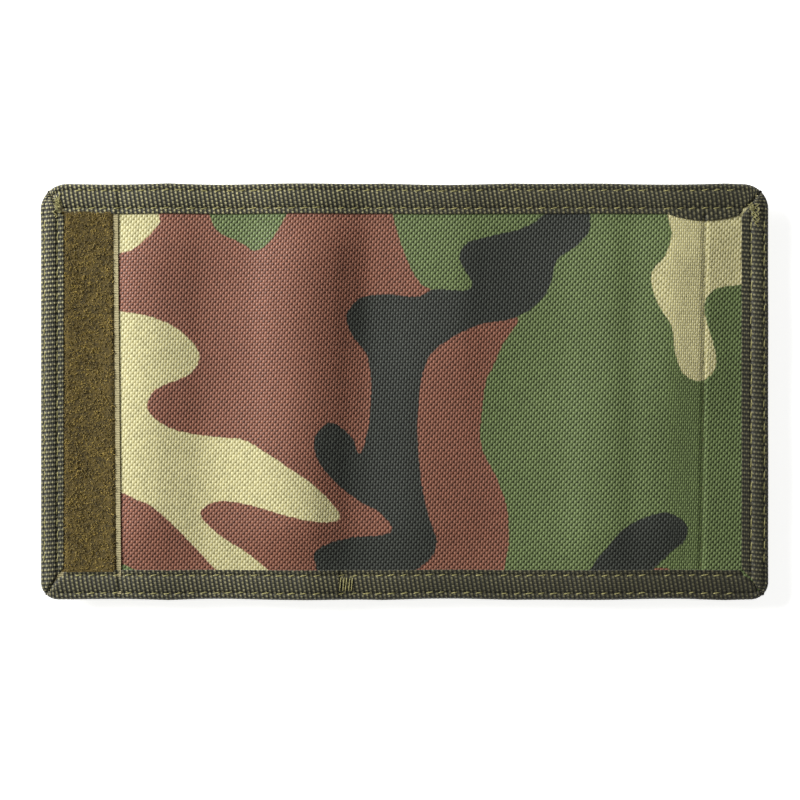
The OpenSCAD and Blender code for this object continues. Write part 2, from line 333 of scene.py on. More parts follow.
def new_piece(
    name: str,
    points: Array,
    quads: Array,
    caps: Optional[Array] = None,
    attributes: Optional[dict[str, Array]] = None,
    flat_quads: int = 0,
    crease: Optional[Array] = None,
) -> Piece:
    """Makes a mesh object whose faces point outwards, as the sign of the volume they enclose tells.

    Args:
        name: The piece's name.
        points: Its points in millimetres, of shape (n, 3).
        quads: Its quads as point numbers, of shape (m, 4).
        caps: Closing polygons as point numbers, of shape (polygons, corners). They are shaded flat.
        attributes: Values per point, of shape (n,) or (n, 3), by name.
        flat_quads: How many of the last quads are shaded flat.
        crease: Edges across which shading breaks, as pairs of point numbers.

    Returns:
        The object, at the world origin.
    """
    ends = np.zeros((0, 3), int) if caps is None else caps
    rounds = [points[quads[:, [0, 1, 2]]], points[quads[:, [0, 2, 3]]]]
    rounds += [points[ends[:, [0, k, k + 1]]] for k in range(1, ends.shape[1] - 1)]
    corners = np.concatenate(rounds)
    volume = np.einsum("ij,ij->", corners[:, 0], np.cross(corners[:, 1], corners[:, 2]))
    turn = slice(None, None, -1) if volume < 0 else slice(None)
    loops = np.concatenate([quads[:, turn].ravel(), ends[:, turn].ravel()]).astype(np.int32)
    sizes = np.repeat([4, ends.shape[1]], [len(quads), len(ends)]).astype(np.int32)
    mesh = bpy.data.meshes.new(name)
    mesh.vertices.add(len(points))
    mesh.vertices.foreach_set("co", (points * MM).astype(np.float32).ravel())
    mesh.loops.add(len(loops))
    mesh.loops.foreach_set("vertex_index", loops)
    mesh.polygons.add(len(sizes))
    mesh.polygons.foreach_set("loop_start", (np.cumsum(sizes) - sizes).astype(np.int32))
    mesh.polygons.foreach_set("loop_total", sizes)
    mesh.polygons.foreach_set("use_smooth", np.arange(len(sizes)) < len(quads) - flat_quads)
    mesh.update(calc_edges=True)
    if crease is not None:
        pairs = np.zeros(len(mesh.edges) * 2, np.int32)
        mesh.edges.foreach_get("vertices", pairs)
        number = [np.sort(e.reshape(-1, 2), 1) @ (len(points), 1) for e in (pairs, crease)]
        mesh.edges.foreach_set("use_edge_sharp", np.isin(number[0], number[1]))
    for key, value in (attributes or {}).items():
        kind, field = ("FLOAT_VECTOR", "vector") if value.ndim == 2 else ("FLOAT", "value")
        layer = mesh.attributes.new(key, kind, "POINT")
        layer.data.foreach_set(field, value.astype(np.float32).ravel())
    piece = bpy.data.objects.new(name, mesh)
    bpy.context.scene.collection.objects.link(piece)
    return piece


def grid_quads(nu: int, nv: int, wrap: bool = False) -> Array:
    """Quads of a grid of nu by nv points, numbered row by row; with wrap, the last column joins the first."""
    i, j = np.meshgrid(np.arange(nu - 1), np.arange(nv if wrap else nv - 1), indexing="ij")
    k = (j + 1) % nv
    return np.stack([i * nv + j, (i + 1) * nv + j, (i + 1) * nv + k, i * nv + k], -1).reshape(-1, 4)


def sheet_piece(name: str, upper: Array, lower: Array, attributes: Optional[dict[str, Array]] = None) -> Piece:
    """A closed sheet from its two faces, joined by a rim of quads along all four edges.

    Args:
        name: The piece's name.
        upper: The upper face's points, of shape (nu, nv, 3).
        lower: The lower face's points, of the same shape.
        attributes: Values on the grid, of shape (nu, nv) or (nu, nv, 3), used on both faces.

    Returns:
        The object.
    """
    nu, nv = upper.shape[:2]
    n = nu * nv
    face = grid_quads(nu, nv)
    number = np.arange(n).reshape(nu, nv)
    edge = np.concatenate([number[:, 0], number[-1, 1:], number[-2::-1, -1], number[0, -2::-1]])
    rim = np.stack([edge[:-1], edge[:-1] + n, edge[1:] + n, edge[1:]], -1)
    quads = np.concatenate([face, face[:, ::-1] + n, rim])
    points = np.concatenate([upper.reshape(-1, 3), lower.reshape(-1, 3)])
    given = (attributes or {}).items()
    both = {key: np.concatenate([value.reshape(n, *value.shape[2:])] * 2) for key, value in given}
    border = np.stack([edge[:-1], edge[1:]], -1)
    crease = np.concatenate([border, border + n])
    return new_piece(name, points, quads, attributes=both, flat_quads=len(rim), crease=crease)


def tube_piece(name: str, tubes: Array) -> Piece:
    """One or many closed tubes as one piece: each ring joins the next, and a polygon closes each end.

    Args:
        name: The piece's name.
        tubes: Their rings' points, of shape (tubes, rings, sides, 3).

    Returns:
        The object.
    """
    count, n, k = tubes.shape[:3]
    starts = np.arange(count) * n * k
    quads = (grid_quads(n, k, wrap=True)[None] + starts[:, None, None]).reshape(-1, 4)
    first = starts[:, None] + np.arange(k)
    last = starts[:, None] + (n - 1) * k + np.arange(k)[::-1]
    return new_piece(name, tubes.reshape(-1, 3), quads, np.concatenate([first, last]))


def normals(points: Array) -> Array:
    """Unit normals of a grid surface: the cross product of its steps along and across.

    Args:
        points: The surface, of shape (nu, nv, 3).

    Returns:
        The normals, of the same shape.
    """
    cross = np.cross(np.gradient(points, axis=0), np.gradient(points, axis=1))
    return cross / np.maximum(np.linalg.norm(cross, axis=-1, keepdims=True), 1e-12)


def tubes_along(lines: Array, radius: Array, sides: int, up: Array) -> Array:
    """Sweeps a circle along each line.

    At each point the circle stands square to the line: its first axis is up made square to the tangent, and
    its second is their cross product.

    Args:
        lines: The centre lines, of shape (lines, points, 3).
        radius: The radius at each point, which broadcasts to (lines, points).
        sides: Corners of the circle.
        up: A direction that no line follows, which broadcasts to the lines.

    Returns:
        Ring points, of shape (lines, points, sides, 3).
    """
    tangent = np.gradient(lines, axis=1)
    tangent /= np.maximum(np.linalg.norm(tangent, axis=-1, keepdims=True), 1e-9)
    one = up - (tangent * up).sum(-1, keepdims=True) * tangent
    one /= np.maximum(np.linalg.norm(one, axis=-1, keepdims=True), 1e-9)
    two = np.cross(tangent, one)
    angle = np.arange(sides) * 2 * np.pi / sides
    r = np.broadcast_to(radius, lines.shape[:2])[..., None, None]
    ring = one[:, :, None] * np.cos(angle)[:, None] + two[:, :, None] * np.sin(angle)[:, None]
    return lines[:, :, None] + ring * r


def weave(u: Array, v: Array, pitch_u: float, pitch_v: float) -> Array:
    """Height of a plain weave.

    Each yarn is a rounded ridge, |sin| to the power 0.6. It rises and sinks along its length as a sine whose
    sign alternates from yarn to yarn, and the higher yarn shows.

    Args:
        u: Places along the tape.
        v: Places across it.
        pitch_u: Width of a crossing yarn.
        pitch_v: Width of a lengthwise yarn.

    Returns:
        The height, from 0 to 1.
    """
    su, sv = np.sin(np.pi * u / pitch_u), np.sin(np.pi * v / pitch_v)
    crossing = np.abs(su) ** 0.6 * (0.55 + 0.45 * np.sign(su) * sv)
    lengthwise = np.abs(sv) ** 0.6 * (0.5 - 0.45 * np.sign(sv) * su)
    return np.maximum(crossing, lengthwise)


# ---- shader kit

Number = Union[float, "Value"]


class Value:
    """A number that varies over a surface: an output socket with arithmetic, each step a Math node."""

    def __init__(self, tree: "Tree", socket: Socket) -> None:
        """Wraps a socket of tree."""
        self.tree = tree
        self.socket = socket

    def maths(self, operation: str, *others: Number) -> "Value":
        """A Math node on this value and others."""
        made = self.tree.node("ShaderNodeMath", {"operation": operation}, dict(enumerate((self, *others))))
        return Value(self.tree, made.outputs[0])

    def __add__(self, other: Number) -> "Value":
        """self + other."""
        return self.maths("ADD", other)

    __radd__ = __add__

    def __sub__(self, other: Number) -> "Value":
        """self - other."""
        return self.maths("SUBTRACT", other)

    def __rsub__(self, other: float) -> "Value":
        """other - self."""
        return (self * -1.0) + other

    def __mul__(self, other: Number) -> "Value":
        """self * other."""
        return self.maths("MULTIPLY", other)

    __rmul__ = __mul__

    def __truediv__(self, other: Number) -> "Value":
        """self / other."""
        return self.maths("DIVIDE", other)

    def __pow__(self, other: Number) -> "Value":
        """self to the power other."""
        return self.maths("POWER", other)

    def __abs__(self) -> "Value":
        """The size of self."""
        return self.maths("ABSOLUTE")

    def sine(self) -> "Value":
        """The sine of self, in radians."""
        return self.maths("SINE")

    def sign(self) -> "Value":
        """-1, 0 or 1 as self is below, at or above 0."""
        return self.maths("SIGN")

    def floor(self) -> "Value":
        """The whole number at or below self."""
        return self.maths("FLOOR")

    def larger(self, other: Number) -> "Value":
        """The larger of self and other."""
        return self.maths("MAXIMUM", other)

    def rise(self, low: float, high: float, to_low: float = 0.0, to_high: float = 1.0) -> "Value":
        """Goes smoothly from to_low, where self is low, to to_high, where it is high."""
        sockets = {"Value": self, "From Min": low, "From Max": high, "To Min": to_low, "To Max": to_high}
        made = self.tree.node("ShaderNodeMapRange", {"interpolation_type": "SMOOTHSTEP"}, sockets)
        return Value(self.tree, made.outputs[0])


def srgb(red: int, green: int, blue: int) -> Colour:
    """A colour from its display values of 0 to 255, as linear light."""

    def linear(c: float) -> float:
        """One channel, from 0 to 1, made linear."""
        return c / 12.92 if c <= 0.04045 else ((c + 0.055) / 1.055) ** 2.4

    return linear(red / 255), linear(green / 255), linear(blue / 255)


class Tree:
    """A material's node tree with one Principled surface."""

    def __init__(self, name: str, **surface: Any) -> None:
        """Makes the material.

        Args:
            name: The material's name.
            surface: Plain values for the Principled shader's sockets, with _ for a space.
        """
        self.material = bpy.data.materials.new(name)
        self.material.use_nodes = True
        self.links = self.material.node_tree.links
        self.material.node_tree.nodes.clear()
        self.surface = self.node("ShaderNodeBsdfPrincipled", {}, {})
        self.node("ShaderNodeOutputMaterial", {}, {"Surface": self.surface.outputs[0]})
        for key, value in surface.items():
            self.plug(self.surface.inputs[key.replace("_", " ")], value)

    def plug(self, socket: Socket, value: Any) -> None:
        """Links value to a socket, or sets it there."""
        if isinstance(value, (Value, Socket)):
            self.links.new(value.socket if isinstance(value, Value) else value, socket)
        elif isinstance(value, tuple) and len(value) == 3 and socket.type == "RGBA":
            socket.default_value = (*value, 1.0)
        else:
            socket.default_value = value

    def node(self, kind: str, settings: dict[str, Any], inputs: dict[Union[int, str], Any]) -> bpy.types.Node:
        """Adds a node.

        Args:
            kind: Its type.
            settings: Its properties, which are set first.
            inputs: Values or links of its sockets, by number or name.

        Returns:
            The node.
        """
        made = self.material.node_tree.nodes.new(kind)
        for key, value in settings.items():
            setattr(made, key, value)
        for key, value in inputs.items():
            self.plug(made.inputs[key], value)
        return made

    def attribute(self, name: str) -> Socket:
        """The vector that a piece's attribute holds."""
        return self.node("ShaderNodeAttribute", {"attribute_name": name}, {}).outputs["Vector"]

    def place(self) -> Socket:
        """Object coordinates in millimetres."""
        place = self.node("ShaderNodeTexCoord", {}, {}).outputs["Object"]
        scaled = self.node("ShaderNodeVectorMath", {"operation": "SCALE"}, {0: place, "Scale": 1 / MM})
        return scaled.outputs[0]

    def parts(self, vector: Socket) -> tuple[Value, Value, Value]:
        """A vector's three numbers."""
        outputs = self.node("ShaderNodeSeparateXYZ", {}, {0: vector}).outputs
        return Value(self, outputs[0]), Value(self, outputs[1]), Value(self, outputs[2])

    def joined(self, x: Number, y: Number, z: Number = 0.0) -> Socket:
        """A vector from three numbers."""
        return self.node("ShaderNodeCombineXYZ", {}, {0: x, 1: y, 2: z}).outputs[0]

    def noise(self, vector: Socket, size: float, detail: float = 2.0) -> Value:
        """Smooth noise from 0 to 1 whose features are about size across."""
        sockets = {"Vector": vector, "Scale": 1 / size, "Detail": detail, "Roughness": 0.6}
        made = self.node("ShaderNodeTexNoise", {}, sockets)
        return Value(self, made.outputs[0])

    def speckle(self, vector: Socket) -> Value:
        """A random number from 0 to 1 for each value of vector."""
        return Value(self, self.node("ShaderNodeTexWhiteNoise", {}, {"Vector": vector}).outputs[0])

    def mix(self, share: Number, a: Any, b: Any, blend: str = "MIX") -> Socket:
        """Colour a turned into colour b by share."""
        made = self.node("ShaderNodeMix", {"data_type": "RGBA", "blend_type": blend}, {0: share, 6: a, 7: b})
        return made.outputs[2]

    def shade(self, colour: Any, factor: Number) -> Socket:
        """A colour made brighter or darker by factor."""
        grey = self.joined(factor, factor, factor)
        return self.node("ShaderNodeVectorMath", {"operation": "MULTIPLY"}, {0: colour, 1: grey}).outputs[0]

    def bump(self, height: Value, depth: float, strength: float = 1.0) -> None:
        """Gives the surface relief: height from 0 to 1 stands for depth in millimetres."""
        made = self.node("ShaderNodeBump", {}, {"Strength": strength, "Distance": depth * MM, "Height": height})
        self.plug(self.surface.inputs["Normal"], made.outputs[0])

    def woven(self, u: Value, v: Value, pitch_u: float, pitch_v: float) -> tuple[Value, Value]:
        """The plain weave of weave(), as nodes.

        Args:
            u: Places along the cloth, in millimetres.
            v: Places across it.
            pitch_u: Width of a crossing yarn.
            pitch_v: Width of a lengthwise yarn.

        Returns:
            The height from 0 to 1, and a random number for each crossing.
        """
        su, sv = (u * (math.pi / pitch_u)).sine(), (v * (math.pi / pitch_v)).sine()
        one = abs(su) ** 0.6 * (su.sign() * sv * 0.45 + 0.55)
        other = abs(sv) ** 0.6 * (sv.sign() * su * -0.45 + 0.5)
        cell = self.joined((u / pitch_u).floor(), (v / pitch_v).floor())
        return one.larger(other), self.speckle(cell)


# ---- finishes


@dataclass(frozen=True)
class CamoPrint:
    """Four-colour print on coarse plain-weave polyester with a slight sheen, partly from the shader's gloss
    and partly painted as pale highlights on the bead tops.
    """

    brown: Colour = srgb(130, 84, 64)
    green: Colour = srgb(98, 113, 67)
    tan: Colour = srgb(190, 184, 140)
    black: Colour = srgb(46, 50, 43)
    pitch_u: float = 0.827
    pitch_v: float = 0.891
    lean: float = -0.07
    square_from: float = 82.0
    square_to: float = 93.2
    squeeze: float = 0.17
    beads: float = 0.8
    skew: float = 0.25
    fray: float = 0.3
    soft_edge: float = 0.22
    # pale colour mixed into the bead tops as a painted highlight
    glint: Colour = srgb(215, 215, 205)

    def make(self) -> bpy.types.Material:
        """The material: the print's edges wander by half a yarn, and each yarn crossing shades the dye with
        painted light and shade.

        With s and c the sine and cosine across the upright yarns, and S and C those across the level ones,
        the raised crossings are s S + skew c C, where skew paints the stronger light on one diagonal of the
        yarns. Raised crossings are painted lighter and the hollows between them darker, as painted shade, and
        the bead tops are mixed towards glint as a painted highlight. On the stretch between the flap's crease
        and its seam the yarns lie closer and are pulled square. Tan shows less relief and less painted shade
        than the darker dyes, and in the hollows each dye is painted a darker, more saturated shade of itself,
        as painted shade.
        """
        t = Tree("camo_print", Specular_IOR_Level=0.4)
        cloth = t.attribute(CLOTH)
        u, v, _ = t.parts(cloth)
        wander = t.noise(cloth, 2.2)
        low, high = self.square_from, self.square_to
        square = u.rise(low - 1, low + 1) * u.rise(high, high + 0.6, 1, 0)
        u = u + v * self.lean + u.rise(low, high, 0, (high - low) * self.squeeze) + wander * 0.25
        height, grain = t.woven(u, v, self.pitch_u, self.pitch_v)
        su, cu = (((u + shift) * (math.pi / self.pitch_u)).sine() for shift in (0, self.pitch_u / 2))
        sv, cv = (((v + shift) * (math.pi / self.pitch_v)).sine() for shift in (0, self.pitch_v / 2))
        green, tan, black = t.parts(t.attribute(CAMO))
        frayed = (grain - 0.5) * self.fray + (wander - 0.5) * self.fray
        colour: Any = self.brown
        for distance, dye in ((green, self.green), (tan, self.tan), (black, self.black)):
            colour = t.mix((distance + frayed).rise(-self.soft_edge, self.soft_edge), dye, colour)
        mottle = t.noise(cloth, 14, 3) * 0.16 + 0.92
        # painted light and shade: raised yarn crossings are painted lighter and the hollows between them
        # darker; skew paints the stronger light on one diagonal of the yarns
        raised = (su * sv + cu * cv * self.skew) * (self.beads - square * 0.3)
        ridges = (su * su - 0.5) * (square * 0.3 + 0.26) + (sv * sv - 0.5) * (square * 0.35 + 0.1)
        pale = tan.rise(-0.3, 0.3, 0.52, 0.3)
        depth = raised - raised * raised * 0.55 + ridges
        light = (depth * (1 - pale) + (grain - 0.5) * 0.16 + 1.06) * mottle
        # painted shade: in the hollows each dye is painted a darker, more saturated shade of itself
        painted_hollow_shade = t.shade(t.mix(1.0, colour, colour, "MULTIPLY"), 3.66 - pale * 2.2)
        colour = t.mix(raised.rise(-0.6, 0.2, 0.55, 0), colour, painted_hollow_shade)
        shaded = t.shade(colour, light.rise(0.06, 2.1, 0.06, 2.1))
        # painted highlight: the tops of the raised beads are mixed towards glint
        t.plug(t.surface.inputs["Base Color"], t.mix(raised.rise(0.1, 0.7, 0, 0.05), shaded, self.glint))
        t.plug(t.surface.inputs["Roughness"], height.rise(0.2, 1.0, 0.7, 0.42))
        t.bump(height * (1.36 - pale * 1.2), 0.2, 0.9)
        return t.material


@dataclass(frozen=True)
class PlainCloth:
    """Fine plain-weave nylon, one colour."""

    name: str
    colour: Colour
    pitch: float = 0.42
    depth: float = 0.07

    def make(self) -> bpy.types.Material:
        """The material: painted shade between the yarns and lighter yarn tops, with slow wear and dust over the
        whole sheet.
        """
        t = Tree(self.name, Roughness=0.55, Specular_IOR_Level=0.4, Sheen_Weight=0.2, Sheen_Roughness=0.35)
        cloth = t.attribute(CLOTH)
        u, v, _ = t.parts(cloth)
        height, grain = t.woven(u, v, self.pitch, self.pitch)
        wear = t.noise(cloth, 18, 4).rise(0.35, 0.75, 0.85, 1.25)
        # painted shade: the yarns are painted darker between them and lighter on their tops; wear is slow
        # random tone
        light = (height.rise(0.1, 0.9, 0.45, 1.15) + (grain - 0.5) * 0.2) * wear
        t.plug(t.surface.inputs["Base Color"], t.shade(self.colour, light))
        t.plug(t.surface.inputs["Roughness"], height.rise(0.2, 1.0, 0.75, 0.48))
        t.bump(height, self.depth)
        return t.material


@dataclass(frozen=True)
class Webbing:
    """Ribbed edge tape: light crossing yarns that show as beads over dark lengthwise ones."""

    name: str = "edge_webbing"
    light: Colour = srgb(158, 152, 110)
    dark: Colour = srgb(43, 42, 24)
    painted_gap_shade: Colour = srgb(20, 21, 13)
    pitch_u: float = 1.36
    pitch_v: float = 0.61

    def make(self) -> bpy.types.Material:
        """The material: the same weave as the tape's own relief, with each bead's own tone and loose fibres.

        The gaps between the yarns get painted shade, and a painted light falloff makes the tape brighter
        towards the left and top and darker towards the right and bottom.
        """
        t = Tree(self.name, Roughness=0.6, Specular_IOR_Level=0.4, Sheen_Weight=0.15, Sheen_Roughness=0.5)
        cloth = t.attribute(CLOTH)
        u, v, _ = t.parts(cloth)
        height, grain = t.woven(u, v, self.pitch_u, self.pitch_v)
        su, sv = (u * (math.pi / self.pitch_u)).sine(), (v * (math.pi / self.pitch_v)).sine()
        stroke = abs(su) ** 2.6 * (su.sign() * sv * 0.34 + 0.64)
        east, north, _ = t.parts(t.place())
        # painted light falloff: brighter towards the left and top, darker towards the right and bottom
        painted_light_falloff = east.rise(-110, 110, 1.36, 0.64) * north.rise(-60, 60, 0.64, 1.0)
        # slow random tone of the tape, times the painted light falloff
        slow = t.noise(cloth, 22, 3).rise(0.25, 0.75, 0.72, 1.1) * painted_light_falloff
        # painted shade: the gaps between the yarns take the darkest colour
        yarn = t.mix(height.rise(0.3, 0.7), self.painted_gap_shade, self.dark)
        colour = t.mix(stroke.rise(0.16, 0.86), yarn, t.shade(self.light, (grain * 0.4 + 0.75) * slow))
        fibre = t.noise(t.place(), 0.22, 2)
        t.plug(t.surface.inputs["Base Color"], t.shade(colour, fibre.rise(0.25, 0.75, 0.8, 1.18)))
        t.bump(height * 0.8 + fibre * 0.2, 0.22, 0.8)
        return t.material


@dataclass(frozen=True)
class Fibre:
    """Bare fibre or thread: one colour that varies along and between strands."""

    name: str
    low: Colour
    high: Colour
    grain: float = 0.5
    roughness: float = 0.7

    def make(self) -> bpy.types.Material:
        """The material: two noises of grain and four grains size mix the two colours."""
        t = Tree(self.name, Roughness=self.roughness, Specular_IOR_Level=0.35, Sheen_Weight=0.25)
        place = t.place()
        fine, broad = t.noise(place, self.grain, 2), t.noise(place, self.grain * 4, 3)
        share = (fine * 0.5 + broad * 0.5).rise(0.33, 0.67)
        t.plug(t.surface.inputs["Base Color"], t.mix(share, self.low, self.high))
        t.bump(fine, 0.06, 0.5)
        return t.material


@dataclass(frozen=True)
class Selvedge:
    """The loop tape's bare woven edge: fine ribs straight across it."""

    light: Colour = srgb(196, 184, 138)
    dark: Colour = srgb(112, 104, 68)
    rib: float = 0.55

    def make(self) -> bpy.types.Material:
        """The material: a sine along Y makes the ribs, painted darker in the hollows between them as painted
        shade.
        """
        t = Tree("selvedge", Roughness=0.6, Specular_IOR_Level=0.4, Sheen_Weight=0.1)
        cloth = t.attribute(CLOTH)
        _, v, _ = t.parts(cloth)
        # painted shade: the ribs are painted darker in their hollows and lighter on their crests
        rib = (v * (2 * math.pi / self.rib)).sine() * 0.5 + 0.5
        wear = t.noise(cloth, 3, 3) * 0.3 + 0.85
        t.plug(t.surface.inputs["Base Color"], t.shade(t.mix(rib, self.dark, self.light), wear))
        t.bump(rib, 0.08)
        return t.material


@dataclass(frozen=True)
class PlatedMetal:
    """Worn plating on a zinc casting."""

    name: str = "plated_zinc"
    plate: Colour = srgb(168, 166, 160)
    worn: Colour = srgb(112, 108, 98)

    def make(self) -> bpy.types.Material:
        """The material: scratches and dull patches in colour and roughness."""
        t = Tree(self.name, Metallic=1.0)
        place = t.place()
        patches = t.noise(place, 1.6, 4).rise(0.4, 0.7)
        t.plug(t.surface.inputs["Base Color"], t.mix(patches, self.plate, self.worn))
        t.plug(t.surface.inputs["Roughness"], patches * 0.25 + 0.24)
        t.bump(t.noise(place, 0.25, 3), 0.03, 0.4)
        return t.material


@dataclass(frozen=True)
class Moulding:
    """Moulded nylon, for zip coils."""

    name: str
    colour: Colour

    def make(self) -> bpy.types.Material:
        """The material: glossy, with a faint grain."""
        t = Tree(self.name, Specular_IOR_Level=0.5)
        grain = t.noise(t.place(), 0.3, 3)
        t.plug(t.surface.inputs["Base Color"], t.shade(self.colour, grain * 0.5 + 0.75))
        t.plug(t.surface.inputs["Roughness"], grain * 0.2 + 0.25)
        return t.material


@dataclass(frozen=True)
class Vinyl:
    """Clear soft vinyl, a little hazy where cards rub it."""

    tint: Colour = srgb(168, 175, 166)

    def make(self) -> bpy.types.Material:
        """The material: see-through, with haze that varies slowly."""
        t = Tree("clear_vinyl", Specular_IOR_Level=0.6)
        haze = t.noise(t.attribute(CLOTH), 16, 3).rise(0.3, 0.8)
        t.plug(t.surface.inputs["Base Color"], t.mix(haze, self.tint, srgb(206, 210, 202)))
        t.plug(t.surface.inputs["Alpha"], haze * 0.04 + 0.05)
        t.plug(t.surface.inputs["Roughness"], haze * 0.12 + 0.1)
        return t.material


@dataclass(frozen=True)
class Paper:
    """The plain surface that the wallet lies on, lit a little from behind as a light table is."""

    colour: Colour = srgb(240, 240, 239)
    glow: float = 0.9

    def make(self) -> bpy.types.Material:
        """The material: matt and even."""
        glow = {"Emission_Color": self.colour, "Emission_Strength": self.glow}
        return Tree("table", Base_Color=self.colour, Roughness=0.9, Specular_IOR_Level=0.2, **glow).material


class Finish(Enum):
    """Every finish on the wallet, with the record's slot that it belongs to."""

    CAMO = ("print", CamoPrint())
    INNER = ("inner_cloth", PlainCloth("inner_cloth", srgb(50, 55, 44)))
    LINING = ("inner_cloth", PlainCloth("lining_cloth", srgb(42, 46, 40), 0.34, 0.05))
    WEBBING = ("binding_tape", Webbing())
    THREAD = ("binding_tape", Fibre("thread", srgb(112, 110, 66), srgb(172, 164, 104), 0.35, 0.5))
    PILE = ("loop_tape", Fibre("pile", srgb(84, 70, 28), srgb(182, 156, 72), 0.9, 0.85))
    PILE_GROUND = ("loop_tape", Fibre("pile_ground", srgb(54, 45, 16), srgb(102, 85, 34), 0.5, 0.9))
    SEAM_THREAD = ("binding_tape", Fibre("seam_thread", srgb(70, 72, 40), srgb(108, 106, 60), 0.35, 0.6))
    SELVEDGE = ("loop_tape", Selvedge())
    HOOK = ("hook_tape", Moulding("hooks", srgb(96, 90, 58)))
    HOOK_GROUND = ("hook_tape", PlainCloth("hook_ground", srgb(78, 74, 46), 0.5, 0.06))
    ZIP_TAPE = ("zip_tape", PlainCloth("zip_tape_cloth", srgb(46, 50, 38), 0.5, 0.07))
    COIL = ("zip_teeth", Moulding("zip_coil", srgb(44, 46, 36)))
    METAL = ("zip_metal", PlatedMetal())
    VINYL = ("window", Vinyl())

    @property
    def slot(self) -> str:
        """The record's material slot."""
        return self.value[0]


class Wardrobe:
    """Makes each finish once and dresses pieces in it."""

    def __init__(self) -> None:
        """Starts with nothing made."""
        self.made: dict[Finish, bpy.types.Material] = {}

    def dress(self, piece: Piece, finish: Finish) -> Piece:
        """Gives piece its finish.

        Args:
            piece: A new piece or a CAD node.
            finish: What it is made of.

        Returns:
            The piece.
        """
        if finish not in self.made:
            self.made[finish] = finish.value[1].make()
        piece.data.materials.clear()
        piece.data.materials.append(self.made[finish])
        return piece


# ---- bench


@dataclass
class Bench:
    """What every sub-assembly is made with: the layout, the drape, the spans and the finishes."""

    layout: Layout
    drape: Drape
    spans: tuple[Span, ...]
    wardrobe: Wardrobe

    @classmethod
    def ready(cls) -> "Bench":
        """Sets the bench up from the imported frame."""
        layout = Layout.from_frame()
        return cls(layout, Drape(layout), spans(layout), Wardrobe())

    def put(self, piece: Piece, finish: Finish, place: Union[str, Span], *nodes: str) -> Piece:
        """Finishes a piece, and logs it.

        Args:
            piece: The piece.
            finish: What it is made of.
            place: The body that it rides on, or the span whose hang() bakes its transform.
            nodes: The CAD nodes that it stands for.

        Returns:
            The piece.
        """
        self.wardrobe.dress(piece, finish)
        if isinstance(place, Span):
            place.hang(piece)
        else:
            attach(piece, place)
        if nodes:
            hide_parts(*nodes)
        log.info("%s: %s", piece.name, finish.name.lower())
        return piece

    def cloth(
        self,
        name: str,
        x: Array,
        y: Array,
        upper: Array,
        lower: Array,
        more: Optional[dict[str, Array]] = None,
    ) -> Piece:
        """A draped sheet over a grid.

        Args:
            name: The piece's name.
            x: Places along the wallet, of shape (nx, ny).
            y: Places across it, of the same shape.
            upper: Heights of the upper face above the table, which broadcast to the grid.
            lower: Heights of the lower face.
            more: Further values on the grid.

        Returns:
            The sheet, with its flat places in the cloth attribute.
        """
        flat = [np.stack([x, y, np.broadcast_to(z, x.shape)], -1) for z in (upper, lower)]
        return sheet_piece(name, self.drape(flat[0]), self.drape(flat[1]), {CLOTH: flat[0], **(more or {})})


def grid(x: Array, y: Array) -> tuple[Array, Array]:
    """The places x and y over a whole grid."""
    return tuple(np.meshgrid(x, y, indexing="ij"))


# ---- printed cloth

